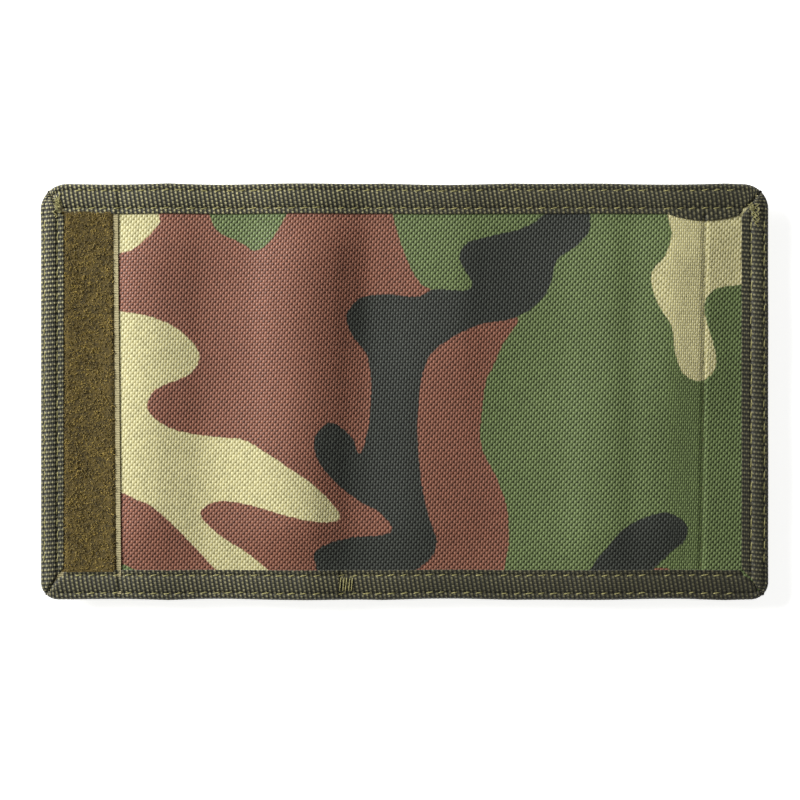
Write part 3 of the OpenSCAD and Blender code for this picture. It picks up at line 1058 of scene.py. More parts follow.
@dataclass(frozen=True)
class CamoPattern:
    """Where each dye lies: closed smooth outlines, and brown wherever there is none."""

    green: tuple[Outline, ...] = (
        ((-62, 60), (-61, 55.5), (-58, 50), (-51, 46.5), (-46.5, 44), (-42, 46.5), (-39, 51), (-36.5, 55.5),
         (-35.5, 60), (-48, 66)),
        ((-4.5, 66), (-3.5, 55.5), (-2, 49), (0.5, 42), (4, 35), (8, 32), (19, 28.5), (30, 25), (35.5, 22.5),
         (31, 15.5), (27.5, 7.5), (25.5, 3.5), (24, -8), (24, -17), (29, -27.5), (32, -36.5), (32.5, -47),
         (31, -56), (30, -70), (70, -72), (122, -70), (124, 0), (122, 70), (50, 72)),
        ((-90.5, -52.5), (-88.5, -53.5), (-83.5, -56), (-79.5, -62), (-86, -68), (-93.5, -62)),
    )
    brown_in_green: tuple[Outline, ...] = (
        ((77, -56), (79.5, -55), (83, -56), (84.5, -62), (80, -68), (75, -62)),
    )
    tan: tuple[Outline, ...] = (
        ((-92.5, 66), (-80, 66), (-76.5, 55.5), (-77, 51.5), (-83.5, 45), (-89.5, 43), (-95.5, 42)),
        ((-97, 29.5), (-89.5, 25.5), (-79.5, 23.5), (-70.5, 19.5), (-64, 12), (-67, 5.5), (-77, 1), (-80, -4),
         (-78, -8), (-71, -12), (-59.5, -14), (-50, -15), (-43, -19), (-34.5, -24.5), (-26.5, -30.5),
         (-20, -38.5), (-24, -40.5), (-34.5, -39), (-47, -35.5), (-56.5, -34), (-62.5, -36), (-63, -39.5),
         (-56.5, -45.5), (-48.5, -50.5), (-42, -56), (-37.5, -62), (-45, -67), (-53, -62), (-58.5, -56),
         (-64, -50), (-70.5, -43), (-78, -36), (-83.5, -33.5), (-89.5, -31), (-97, -29.5), (-101, 0)),
        ((81, 66), (82, 55), (83, 49), (81, 42.5), (77, 37.5), (77, 32), (79.5, 26), (83, 20), (84, 12.5),
         (86, 6.5), (90, 3.5), (94, 4), (97, 8.5), (96, 15.5), (94, 22), (93.5, 28), (97, 32), (105.5, 33.5),
         (118, 35), (120, 60), (100, 68)),
    )
    black: tuple[Outline, ...] = (
        ((59.5, 66), (58, 55.5), (57.5, 50), (53, 45), (47.5, 41), (46, 35), (43.5, 29.5), (39, 25.5),
         (32.5, 22.5), (23.5, 21), (15, 17), (8.5, 12), (5.5, 5), (4.5, -2.5), (4, -12), (5, -26), (7, -36.5),
         (10, -47), (8, -52), (3.5, -56), (-1.5, -62), (-12, -68), (-23, -62), (-27, -56), (-28, -50.5),
         (-25.5, -48), (-17.5, -45.5), (-6.5, -44.5), (-4, -42), (-8.5, -37), (-13.5, -34.5), (-20, -29.5),
         (-25.5, -23.5), (-28, -18), (-27.5, -13.5), (-23, -9.5), (-16.5, -14), (-14, -19.5), (-11.5, -12),
         (-10.5, -2.5), (-10.5, 5), (-12, 12), (-16, 17), (-18, 22.5), (-17, 26), (-13, 29.5), (-5, 30.5),
         (3.5, 29.5), (9.5, 32), (19, 31.5), (21, 34), (19, 37.5), (17, 42), (19.5, 46.5), (26.5, 48.5),
         (36.5, 51), (43.5, 55.5), (48.5, 66)),
        ((53, -62), (57.5, -56), (61.5, -50), (69, -42), (78, -38), (83, -38), (87.5, -41), (87.5, -46),
         (82.5, -50.5), (77, -56), (73.5, -62), (63, -68)),
    )
    steps: int = 6
    clip: float = 3.0

    def curve(self, outline: Outline) -> Array:
        """A closed Catmull-Rom curve through an outline's points.

        Between points b and c of a, b, c, d it is
        b + t(c - a)/2 + t^2 (2a - 5b + 4c - d)/2 + t^3 (3b - a - 3c + d)/2.

        Args:
            outline: The points, in order.

        Returns:
            The curve's points.
        """
        b = np.array(outline, float)[:, None]
        a, c, d = np.roll(b, 1, 0), np.roll(b, -1, 0), np.roll(b, -2, 0)
        t = (np.arange(self.steps) / self.steps)[None, :, None]
        curve = b + t * (c - a) / 2 + t**2 * (2 * a - 5 * b + 4 * c - d) / 2
        return (curve + t**3 * (3 * b - a - 3 * c + d) / 2).reshape(-1, 2)

    def distance(self, outline: Outline, x: Array, y: Array) -> Array:
        """Signed distance to an outline, negative inside.

        It is the smallest distance to any of the curve's segments. A point is inside where a ray along X
        crosses an odd number of them.

        Args:
            outline: The outline.
            x: Places along the cloth.
            y: Places across it.

        Returns:
            The distance in millimetres, no larger than clip.
        """
        ends = self.curve(outline)
        best = np.full(x.shape, self.clip)
        odd = np.zeros(x.shape, bool)
        for (x0, y0), (x1, y1) in zip(ends, np.roll(ends, -1, 0)):
            dx, dy = x1 - x0, y1 - y0
            t = np.clip(((x - x0) * dx + (y - y0) * dy) / max(dx * dx + dy * dy, 1e-9), 0, 1)
            best = np.minimum(best, np.hypot(x - x0 - t * dx, y - y0 - t * dy))
            spans_y = (y0 > y) != (y1 > y)
            odd ^= spans_y & (x < x0 + (y - y0) * dx / (dy if abs(dy) > 1e-9 else 1e-9))
        return np.where(odd, -best, best)

    def dyes(self, x: Array, y: Array) -> Array:
        """Signed distances of green, tan and black, as one vector per place."""
        green, tan, black, brown = (
            np.minimum.reduce([self.distance(outline, x, y) for outline in outlines])
            for outlines in (self.green, self.tan, self.black, self.brown_in_green)
        )
        return np.stack([np.maximum(green, -brown), tan, black], -1)


@dataclass(frozen=True)
class OuterCloth:
    """The printed cloth that is the whole outer face. Its cut edges lie inside the edge tapes."""

    bench: Bench
    pattern: CamoPattern = CamoPattern()
    hidden_edge: float = 1.8
    step: float = 0.72

    def build(self) -> None:
        """Makes the cloth in its four spans."""
        lay = self.bench.layout
        high = lay.shell_hi_z
        low = node_mm("shell_back")[0][2]
        y = stations(lay.bottom + self.hidden_edge, lay.top - self.hidden_edge, self.step)
        for span in self.bench.spans:
            x0 = max(span.x0, lay.left + self.hidden_edge)
            x1 = min(span.x1, lay.right - self.hidden_edge)
            xs, ys = grid(stations(x0, x1, self.step), y)
            camo = self.pattern.dyes(xs, ys)
            piece = self.bench.cloth(f"outer_cloth_{span.name}", xs, ys, high, low, {CAMO: camo})
            self.bench.put(piece, Finish.CAMO, span, *span.nodes("shell"))
            metres(x1 - x0, y[-1] - y[0])


@dataclass(frozen=True)
class InnerCloths:
    """The lining, and the note panel with the tape over its mouth."""

    bench: Bench
    hidden_edge: float = 1.8
    turn_up: float = 4.0
    step: float = 1.2
    tape_thickness: float = 0.3

    def build(self) -> None:
        """Makes each cloth in its four spans."""
        for span in self.bench.spans:
            self.lining(span)
            self.note_panel(span)
            self.mouth_tape(span)

    def reach(self, span: Span, left: float, right: float) -> Array:
        """Stations along a span, kept between left and right."""
        return stations(max(span.x0, left), min(span.x1, right), self.step)

    def lining(self, span: Span) -> None:
        """The lining, close under the printed cloth."""
        lay, edge = self.bench.layout, self.hidden_edge
        low, high = (corner[2] for corner in node_mm("lining_back"))
        x = self.reach(span, lay.left + edge, lay.right - edge)
        y = stations(lay.bottom + edge, lay.top - edge, self.step)
        piece = self.bench.cloth(f"lining_cloth_{span.name}", *grid(x, y), high - 0.05, low)
        self.bench.put(piece, Finish.LINING, span, *span.nodes("lining"))
        metres(x[-1] - x[0], y[-1] - y[0])

    def note_panel(self, span: Span) -> None:
        """The note panel, open along its top. At the hook tape it turns up to the lining in a soft S."""
        lay, edge = self.bench.layout, self.hidden_edge
        low, high = (corner[2] for corner in node_mm("note_panel_back"))
        end = node_mm("hook_tape")[0][0]
        x = self.reach(span, lay.left + edge, end)
        y = stations(lay.bottom + edge, node_mm("note_panel_back")[1][1], self.step)
        xs, ys = grid(x, y)
        rise = (lay.lining_lo_z - high) * smooth(xs, end - self.turn_up, end)
        piece = self.bench.cloth(f"note_pocket_cloth_{span.name}", xs, ys, high + rise, low + rise)
        self.bench.put(piece, Finish.INNER, span, *span.nodes("note_panel"))
        metres(x[-1] - x[0], y[-1] - y[0])

    def mouth_tape(self, span: Span) -> None:
        """The tape folded over the note panel's top edge, as a hairpin section carried along X."""
        lay = self.bench.layout
        low, high = node_mm("note_binding_back")
        x = self.reach(span, node_mm("note_binding_cover")[0][0], node_mm("note_binding_flap")[1][0])
        section = Hairpin(high[1] - low[1], (high[2] - low[2]) / 2)
        xs, index = grid(x, np.arange(len(section.rest)))
        w, z = section.at(index, low[2], high[2])
        flat = np.stack([xs, high[1] - w, z], -1)
        name, relief = f"note_pocket_tape_{span.name}", WeaveRelief(0.04)
        piece = tape_piece(name, self.bench.drape, flat, section, self.tape_thickness, relief, xs)
        self.bench.put(piece, Finish.WEBBING, span, *span.nodes("note_binding"))
        metres(x[-1] - x[0], section.rest[-1])


# ---- edge tapes


@dataclass(frozen=True)
class WeaveRelief:
    """The woven relief of a tape: how deep it is, and its yarns' widths."""

    depth: float = 0.13
    pitch_u: float = Webbing.pitch_u
    pitch_v: float = Webbing.pitch_v
    lean: float = 0.09


@dataclass(frozen=True)
class Hairpin:
    """A tape's section, folded over an edge: across the top, round half an ellipse, and back underneath.

    width is how far it reaches in from the edge, and nose is how far in the half ellipse starts.
    """

    width: float
    nose: float
    cell: float = 0.3

    @property
    def counts(self) -> tuple[int, int]:
        """Steps along each flat, and round the nose."""
        flat = int(math.ceil((self.width - self.nose) / self.cell))
        return flat, max(6, int(math.ceil(math.pi * self.nose / self.cell)))

    @property
    def rest(self) -> Array:
        """Distance along the section of each of its places, from the top's inner edge."""
        flat, round_ = self.counts
        straight = np.linspace(0, self.width - self.nose, flat + 1)
        arc = np.linspace(0, math.pi * self.nose, round_ + 1)[1:-1]
        return np.concatenate([straight, straight[-1] + arc, straight[-1] + math.pi * self.nose + straight])

    def at(self, index: Array, bottom: Array, top: Array) -> tuple[Array, Array]:
        """Where each place of the section is.

        On the nose it is nose - nose sin(a) in from the edge and at mid + half cos(a), with a from 0 to pi.

        Args:
            index: Numbers of the places, of shape (nu, nv).
            bottom: Height of the underside, which broadcasts to index.
            top: Height of the top.

        Returns:
            The distance in from the edge, and the height.
        """
        flat, round_ = self.counts
        angle = np.clip((index - flat) / round_, 0, 1) * math.pi
        run = (self.width - self.nose) / flat
        straight = np.maximum(flat - index, 0) + np.maximum(index - flat - round_, 0)
        w = self.nose * (1 - np.sin(angle)) + straight * run
        return w, (top + bottom) / 2 + (top - bottom) / 2 * np.cos(angle)


def tape_piece(
    name: str,
    drape: Callable[[Array], Array],
    flat: Array,
    section: Hairpin,
    thickness: float,
    relief: WeaveRelief,
    along: Array,
) -> Piece:
    """A folded tape: its outer face is draped and given its woven relief, and its inner face lies inside it.

    Args:
        name: The piece's name.
        drape: Lays flat points as the cloth under the tape lies.
        flat: The outer face before draping, of shape (nu, nv, 3).
        section: The tape's section.
        thickness: The tape's thickness.
        relief: Its weave.
        along: Distance along the tape, of shape (nu, nv).

    Returns:
        The object, with its flat places in the cloth attribute.
    """
    middle_face = drape(flat)
    out = normals(middle_face)
    if ((middle_face - middle_face.reshape(-1, 3).mean(0)) * out).sum() < 0:
        out = -out
    across = np.broadcast_to(section.rest, along.shape)
    slant = along + relief.lean * across
    height = weave(slant, across, relief.pitch_u, relief.pitch_v) - 0.5
    outer = middle_face + out * (height * relief.depth)[..., None]
    inner = middle_face - out * thickness
    return sheet_piece(name, outer, inner, {CLOTH: np.stack([slant, across, np.zeros_like(across)], -1)})


@dataclass(frozen=True)
class EdgeTapes:
    """The webbing folded over all four edges, mitred at the corners."""

    bench: Bench
    step: float = 0.34
    cell: float = 0.21
    nose: float = 1.5
    thickness: float = 0.33
    long_lean: float = 0.17
    crown: float = 0.34
    outer_row: float = 2.1
    inner_row: float = 7.7
    groove: float = 0.3
    groove_width: float = 0.5
    bow: float = 2.2
    bow_from: float = 81.9
    bow_to: float = 105.2
    end_rows: tuple[float, float] = (1.4, 5.4)
    end_share: float = 0.8
    overlap_from: float = -36.0
    overlap_to: float = -20.6
    overlap_lift: float = 0.3
    mitre: float = 0.6
    mitre_width: float = 0.8

    def build(self) -> None:
        """Makes the long tapes in four spans each, and the two end tapes."""
        for span in self.bench.spans:
            self.long_tape(span, "top", 1)
            self.long_tape(span, "bottom", -1)
        self.end_tape("left", 1)
        self.end_tape("right", -1)

    def loop_step(self, x: Array) -> Array:
        """How much higher a long tape's top is where it lies on the loop tape's ground."""
        edge = node_mm("loop_tape")[1][0]
        lift = node_mm("left_binding")[1][2] - node_mm("top_binding_back")[1][2]
        return lift * (1 - smooth(x, edge - 1.0, edge + 0.8))

    def long_heights(self, x: Array, side: int) -> tuple[Array, Array]:
        """Underside and top of a long tape along X, for side 1 at the top edge or -1 at the bottom."""
        name = "top" if side > 0 else "bottom"
        low, high = node_mm(f"{name}_binding_back")
        hook_low = node_mm("right_binding")[0][2]
        hook_edge = node_mm("hook_tape")[0][0]
        bottom = low[2] + (hook_low - low[2]) * smooth(x, hook_edge - 2.5, hook_edge + 0.4)
        return bottom, high[2] + self.loop_step(x)

    def padding(self, w: Array, rows: tuple[float, float]) -> Array:
        """The top's relief: a pad between the two rows of stitches and a groove along each.

        Args:
            w: Distance in from the edge.
            rows: The stitch rows' distances in from the edge.

        Returns:
            The height to add.
        """
        near, far = rows
        pad = np.sin(np.clip((w - near) / (far - near), 0, 1) * math.pi) ** 0.7 * self.crown
        grooves = (bell(w, near, self.groove_width) + bell(w, far, self.groove_width)) * self.groove
        return pad - grooves

    def valley(self, along: Array, ends: tuple[Array, Array]) -> Array:
        """How far a tape's top sinks beside its mitres, which cross it at ends."""
        return self.mitre * (bell(along, ends[0], self.mitre_width) + bell(along, ends[1], self.mitre_width))

    def overlap(self, x: Array, side: int) -> Array:
        """How much the bottom tape (side -1) stands up where its end lies over its start."""
        low, high = self.overlap_from, self.overlap_to
        return self.overlap_lift * smooth(x, low, low + 6) * (1 - smooth(x, high, high + 0.5)) * (side < 0)

    def widening(self, x: Array) -> Array:
        """How much wider the top tape is over the flap, where a short second layer bows out from under it."""
        t = np.clip((x - self.bow_from) / (self.bow_to - self.bow_from), 0, 1)
        return self.bow * np.sin(math.pi * t) ** 0.8

    def long_surface(self, x: Array, index: Array, section: Hairpin, side: int) -> Array:
        """A long tape's outer face before draping.

        Args:
            x: Places along the wallet before mitring, of shape (nu, nv).
            index: Numbers of the section's places.
            section: The tape's section.
            side: 1 at the top edge, -1 at the bottom.

        Returns:
            The points.
        """
        lay = self.bench.layout
        bottom, top = self.long_heights(x, side)
        w, z = section.at(index, bottom, top)
        edge = lay.top if side > 0 else lay.bottom
        left_slope = (lay.left_in - lay.left) / section.width
        right_slope = (lay.right - lay.right_in) / section.width
        ends = lay.left + w * left_slope, lay.right - w * right_slope
        x = np.clip(x, *ends)
        valley = self.valley(x, ends)
        if side > 0:
            w = w + self.widening(x) * smooth(w, 0.5 * section.width, section.width)
        on_top = z > (top + bottom) / 2
        crest = self.padding(w, (self.outer_row, self.inner_row)) + self.overlap(x, side) - valley
        z = z + np.where(on_top, crest, 0)
        return np.stack([x, edge - side * w, z], -1)

    def long_section(self) -> Hairpin:
        """The section of the long tapes."""
        return Hairpin(self.bench.layout.top - self.bench.layout.top_in, self.nose, self.cell)

    def long_tape(self, span: Span, name: str, side: int) -> None:
        """One span of a long tape."""
        section = self.long_section()
        x, index = grid(stations(span.x0, span.x1, self.step), np.arange(len(section.rest)))
        flat = self.long_surface(x, index, section, side)
        title, relief = f"{name}_edge_tape_{span.name}", WeaveRelief(lean=self.long_lean * side)
        piece = tape_piece(title, self.bench.drape, flat, section, self.thickness, relief, flat[..., 0])
        self.bench.put(piece, Finish.WEBBING, span, *span.nodes(f"{name}_binding"))
        metres(span.x1 - span.x0, section.rest[-1])

    def end_section(self, side: int) -> Hairpin:
        """The section of the left tape (side 1) or the right one (side -1)."""
        lay = self.bench.layout
        width = lay.left_in - lay.left if side > 0 else lay.right - lay.right_in
        return Hairpin(width, self.nose, self.cell)

    def end_rise(self, y: Array, side: int) -> Array:
        """How much an end tape's underside climbs towards the note pocket's open top."""
        lay = self.bench.layout
        climb = node_mm("top_binding_back")[0][2] - node_mm("left_binding")[0][2]
        return climb * smooth(y, lay.top - 15, lay.top - 9) * (side > 0)

    def end_surface(self, y: Array, index: Array, section: Hairpin, side: int) -> Array:
        """An end tape's outer face before draping; side is 1 at the left end, -1 at the right."""
        lay = self.bench.layout
        low, high = node_mm("left_binding" if side > 0 else "right_binding")
        w, z = section.at(index, low[2] + self.end_rise(y, side), high[2])
        edge = lay.left if side > 0 else lay.right
        slope = (lay.top - lay.top_in) / section.width
        ends = lay.bottom + w * slope, lay.top - w * slope
        y = np.clip(y, *ends)
        valley = self.valley(y, ends)
        on_top = index < section.counts[0] + section.counts[1] / 2
        z = z + np.where(on_top, self.padding(w, self.end_rows) * self.end_share - valley, 0)
        return np.stack([edge + side * w, y, z], -1)

    def end_tape(self, name: str, side: int) -> None:
        """One end tape."""
        lay = self.bench.layout
        section = self.end_section(side)
        y, index = grid(stations(lay.bottom, lay.top, self.step), np.arange(len(section.rest)))
        flat = self.end_surface(y, index, section, side)
        title, relief = f"{name}_edge_tape", WeaveRelief()
        piece = tape_piece(title, self.bench.drape, flat, section, self.thickness, relief, flat[..., 1])
        self.bench.put(piece, Finish.WEBBING, "cover" if side > 0 else "flap", f"{name}_binding")
        metres(lay.top - lay.bottom, section.rest[-1])


# ---- thread


@dataclass(frozen=True)
class StitchRow:
    """One row of lockstitches: how far apart they start, how much of each shows, and the thread's radius."""

    pitch: float = 3.9
    shown: float = 2.3
    radius: float = 0.2
    lift: float = 0.26
    slant: float = 0.22

    def centres(self, low: float, high: float) -> Array:
        """Where the stitches' middles lie between two places."""
        return np.arange(math.ceil(low / self.pitch), math.floor(high / self.pitch) + 1) * self.pitch

    def arcs(self, centres: Array, seed: int) -> tuple[Array, Array, Array]:
        """The rows' arcs: along the seam, across it, and above the cloth.

        With t from -1 to 1 a stitch is at t shown/2 along and t slant across, and it stands
        lift cos(pi t / 2) - lift / 2 above the cloth, so that both ends go down into it.

        Args:
            centres: The stitches' middles, of shape (n,).
            seed: Sets the small unevenness.

        Returns:
            Three arrays of shape (n, 5).
        """
        t = np.linspace(-1, 1, 5)[None, :]
        rough = np.random.default_rng(seed).normal(0, 1, (3, len(centres), 1))
        along = centres[:, None] + rough[0] * 0.12 + t * self.shown / 2 * (1 + 0.1 * rough[1])
        across = t * self.slant + rough[2] * 0.07
        return along, across, self.lift * np.cos(math.pi * t / 2) - self.lift / 2 + 0 * across


@dataclass(frozen=True)
class Stitching:
    """All visible thread: two rows on each edge tape and both its faces, the flap's seam, tacks and knots."""

    bench: Bench
    tapes: EdgeTapes
    row: StitchRow = StitchRow()
    end_row: StitchRow = StitchRow(3.7, 2.9, 0.17, 0.24, 0.1)
    seam_row: StitchRow = StitchRow(3.0, 2.1, 0.11, 0.16, 0.0)
    corner_clear: float = 9.0
    sides: int = 6
    flap_under: float = 0.45
    tack_x: tuple[float, ...] = (-20.1, -19.1, -18.3, -17.3, -16.5)
    tack_radius: float = 0.17
    knot_strands: int = 9
    knot_radius: float = 0.16
    knots: tuple[tuple[float, float, str], ...] = ((-108.4, 59.0, "cover"), (108.9, 55.5, "flap"))

    def build(self) -> None:
        """Sews everything."""
        for span in self.bench.spans:
            self.long_rows(span)
        self.end_rows("left", 1)
        self.end_rows("right", -1)
        self.flap_seam()
        self.tack()
        for number, (x, y, body) in enumerate(self.knots):
            self.knot(number, x, y, body)

    def swept(self, name: str, lines: Array, radius: float) -> Piece:
        """Drapes centre lines and sweeps thread along them."""
        return tube_piece(name, tubes_along(self.bench.drape(lines), radius, self.sides, UP))

    def long_rows(self, span: Span) -> None:
        """Both rows of both long tapes along one span, on the top and underneath."""
        lay, tapes, row = self.bench.layout, self.tapes, self.row
        under = self.flap_under if span.name == "flap" else 1.0
        low = max(span.x0, lay.left + self.corner_clear) + row.pitch / 2
        high = min(span.x1, lay.right - self.corner_clear) - row.pitch / 2
        lines = []
        for side in (1, -1):
            edge = lay.top if side > 0 else lay.bottom
            for number, w in enumerate((tapes.outer_row, tapes.inner_row)):
                x, across, up = row.arcs(row.centres(low, high), 40 + 7 * number + side)
                bottom, top = tapes.long_heights(x, side)
                crest = top + tapes.padding(np.full_like(x, w), (tapes.outer_row, tapes.inner_row))
                y = edge - side * w + across
                crest = crest + tapes.overlap(x, side)
                lines += [np.stack([x, y, z], -1) for z in (crest + up, bottom - under * up)]
        piece = self.swept(f"edge_stitches_{span.name}", np.concatenate(lines), row.radius)
        self.bench.put(piece, Finish.THREAD, span)

    def end_rows(self, name: str, side: int) -> None:
        """Both rows of one end tape, on the top and underneath."""
        lay, tapes, row = self.bench.layout, self.tapes, self.end_row
        low, high = node_mm(f"{name}_binding")
        reach = lay.top - self.corner_clear - 1
        lines = []
        for number, w in enumerate(tapes.end_rows):
            y, across, up = row.arcs(row.centres(-reach, reach), 60 + number + side)
            edge = lay.left if side > 0 else lay.right
            crest = high[2] + tapes.end_share * tapes.padding(np.full_like(y, w), tapes.end_rows)
            x = edge + side * w + across
            bottom = low[2] + tapes.end_rise(y, side)
            lines += [np.stack([x, y, z], -1) for z in (crest + up, bottom - up)]
        piece = self.swept(f"{name}_end_stitches", np.concatenate(lines), row.radius)
        self.bench.put(piece, Finish.THREAD, "cover" if side > 0 else "flap")

    def flap_seam(self) -> None:
        """The seam across the flap that holds the hook tape's inner edge."""
        lay, row = self.bench.layout, self.seam_row
        y, across, up = row.arcs(row.centres(lay.bottom_in + 1, lay.top_in - 3), 71)
        x = self.bench.drape.seam_x(y) + across
        piece = self.swept("flap_seam", np.stack([x, y, lay.shell_hi_z + up], -1), row.radius)
        self.bench.put(piece, Finish.SEAM_THREAD, "flap")

    def tack(self) -> None:
        """Strokes of thread over the bottom tape, where its two ends overlap."""
        lay, tapes = self.bench.layout, self.tapes
        t = np.linspace(0, 1, 9)[None, :]
        x = np.array(self.tack_x)[:, None] + 0.5 * t - 0.1
        w = 2.6 + (tapes.inner_row - 3.0) * t + 0 * x
        top = node_mm("bottom_binding_back")[1][2]
        z = top + tapes.padding(w, (tapes.outer_row, tapes.inner_row)) + 0.14 - 0.4 * (2 * t - 1) ** 8
        piece = self.swept("tape_end_tack", np.stack([x, lay.bottom + w, z], -1), self.tack_radius)
        self.bench.put(piece, Finish.THREAD, "back")

    def knot(self, number: int, x: float, y: float, body: str) -> None:
        """A corner's knot: threads that zigzag along Y over a small patch.

        Args:
            number: Sets the random draw.
            x: The patch's middle.
            y: The same, across the wallet.
            body: The body that it rides on.
        """
        rng = np.random.default_rng(90 + number)
        strands = self.knot_strands
        t = np.linspace(0, 1, 13)[None, :]
        start = rng.uniform(-1, 1, (strands, 1, 2))
        turn = rng.uniform(2, 5, (strands, 1))
        top = node_mm("left_binding" if body == "cover" else "right_binding")[1][2]
        px = x + start[..., 0] * 1.3 + 0.6 * np.sin(turn * t * math.pi)
        py = y + start[..., 1] * 2.6 + (t - 0.5) * rng.uniform(2, 4.5, (strands, 1))
        pz = top + 0.42 + 0.28 * np.cos(turn * t * 5) * np.sin(math.pi * t) - 0.45 * (2 * t - 1) ** 6
        piece = self.swept(f"corner_knot_{body}", np.stack([px, py, pz], -1), self.knot_radius)
        self.bench.put(piece, Finish.THREAD, body)


# ---- hook and loop


@dataclass(frozen=True)
class Fastener:
    """The loop tape on the cover's outer face and the hook tape inside the flap."""

    bench: Bench
    hidden_edge: float = 1.8
    selvedge: float = 1.4
    tucked: float = 0.6
    slip: float = 1.0
    loop_step: float = 0.5
    pile_step: float = 0.45
    pile_height: float = 0.42
    loops: int = 7000
    fibre: float = 0.085
    hook_pitch: float = 1.35
    hook_wire: float = 0.12
    hook_step: float = 0.9

    @property
    def loop_base(self) -> float:
        """Height of the cloth under the loop tape."""
        return node_mm("left_binding")[1][2] - self.bench.layout.tape

    @property
    def hook_base(self) -> float:
        """Height of the hook tape's underside, from which the hooks stand down."""
        return node_mm("right_binding")[0][2] + self.bench.layout.tape

    def build(self) -> None:
        """Makes both halves."""
        loop_faces = self.loop_base + 0.05, node_mm("loop_tape")[0][2]
        hook_faces = node_mm("hook_tape")[1][2] - 0.02, self.hook_base
        self.ground("loop_tape", "cover", Finish.SELVEDGE, self.loop_step, loop_faces)
        self.pile()
        self.loop_fibres()
        self.ground("hook_tape", "flap", Finish.HOOK_GROUND, self.hook_step, hook_faces)
        self.hooks()

    def slipped(self, x: Array, y: Array) -> Array:
        """The loop tape is sewn on a little askew: its right edge moves by slip towards the bottom."""
        lay = self.bench.layout
        low, high = (corner[0] for corner in node_mm("loop_tape"))
        return x + self.slip * (lay.top_in - y) / (2 * lay.top_in) * smooth(x, (low + high) / 2, high)

    def ground(self, tape: str, body: str, finish: Finish, step: float, faces: tuple[float, float]) -> None:
        """A tape's woven ground, whose selvedge shows beside the pile or the hooks.

        Args:
            tape: The tape's CAD node.
            body: The body that it rides on.
            finish: What it is made of.
            step: The grid's step.
            faces: Heights of its upper and lower faces.
        """
        lay = self.bench.layout
        low, high = node_mm(tape)
        y = stations(lay.bottom + self.hidden_edge, lay.top - self.hidden_edge, step)
        x, y = grid(stations(low[0], high[0], step), y)
        if tape == "loop_tape":
            x = self.slipped(x, y)
        piece = self.bench.cloth(f"{tape}_ground", x, y, *faces)
        self.bench.put(piece, finish, body, tape)
        metres(*(high - low)[:2])

    def pile_box(self) -> tuple[float, float, float, float]:
        """The pile's limits on X and Y."""
        lay = self.bench.layout
        right = node_mm("loop_tape")[1][0] - self.selvedge
        return lay.left_in - self.tucked, right, lay.bottom_in - self.tucked, lay.top_in + self.tucked

    def pile(self) -> None:
        """The matted body of the pile: a slab whose top is uneven by several sines of different pitch."""
        x0, x1, y0, y1 = self.pile_box()
        x, y = grid(stations(x0, x1, self.pile_step), stations(y0, y1, self.pile_step))
        tuft = np.sin(x * 2.9 + np.sin(y * 1.7)) * np.sin(y * 3.3 + np.sin(x * 2.1)) * 0.13
        clump = np.sin(x / 2.3 + y / 3.1) * np.sin(y / 4.7 - x / 5.3) * 0.08
        edge = np.minimum(smooth(x, x0 + 0.2, x0 + 2.0), 1 - smooth(x, x1 - 1.0, x1))
        top = self.loop_base + 0.08 + (self.pile_height + tuft + clump) * edge
        piece = self.bench.cloth("loop_pile_body", self.slipped(x, y), y, top, self.loop_base - 0.1)
        self.bench.put(piece, Finish.PILE_GROUND, "cover")

    def loop_fibres(self) -> None:
        """The pile's loops, scattered evenly: each rises, leans over and comes down beside its start."""
        x0, x1, y0, y1 = self.pile_box()
        rng = np.random.default_rng(11)
        x = rng.uniform(x0 + 0.4, x1 - 0.4, self.loops)[:, None]
        y = rng.uniform(y0 + 0.3, y1 - 0.3, self.loops)[:, None]
        heading = rng.uniform(0, 2 * math.pi, (self.loops, 1))
        reach = rng.uniform(0.4, 1.0, (self.loops, 1))
        tall = rng.uniform(0.3, 0.8, (self.loops, 1)) * smooth(x, x0 - 0.6, x0 + 2.2)
        t = np.linspace(0, 1, 5)[None, :]
        z = self.loop_base + 0.12 + tall * np.sin(math.pi * t) ** 0.7
        across, along = reach * t * np.cos(heading), reach * t * np.sin(heading)
        lines = np.stack([self.slipped(x + across, y), y + along, z], -1)
        up = np.stack([-np.sin(heading), np.cos(heading), 0 * heading], -1)
        piece = tube_piece("loop_pile", tubes_along(self.bench.drape(lines), self.fibre, 3, up))
        self.bench.put(piece, Finish.PILE, "cover")

    def hooks(self) -> None:
        """The field of hooks: each stands down from the ground and bends back, alternately left and right."""
        lay = self.bench.layout
        low = node_mm("hook_tape")[0]
        xs = np.arange(low[0] + self.selvedge + 0.7, lay.right_in - 1.0, self.hook_pitch)
        ys = np.arange(lay.bottom_in + 1.2, lay.top_in - 1.0, self.hook_pitch)
        x, y = (g.reshape(-1, 1) for g in grid(xs, ys))
        turned = np.where(np.round((x - xs[0]) / self.hook_pitch) % 2 == 0, 1.0, -1.0)
        out = np.array([0.0, 0.0, 0.05, 0.25, 0.47, 0.55])[None, :]
        down = np.array([-0.05, 0.35, 0.7, 0.9, 0.82, 0.6])[None, :]
        lines = np.stack([x + turned * (out - 0.25), y + 0 * out, self.hook_base - down + 0 * x], -1)
        wires = tubes_along(self.bench.drape(lines), self.hook_wire, 5, np.array([0, 1.0, 0]))
        piece = tube_piece("hooks", wires)
        self.bench.put(piece, Finish.HOOK, "flap")


# ---- pockets inside


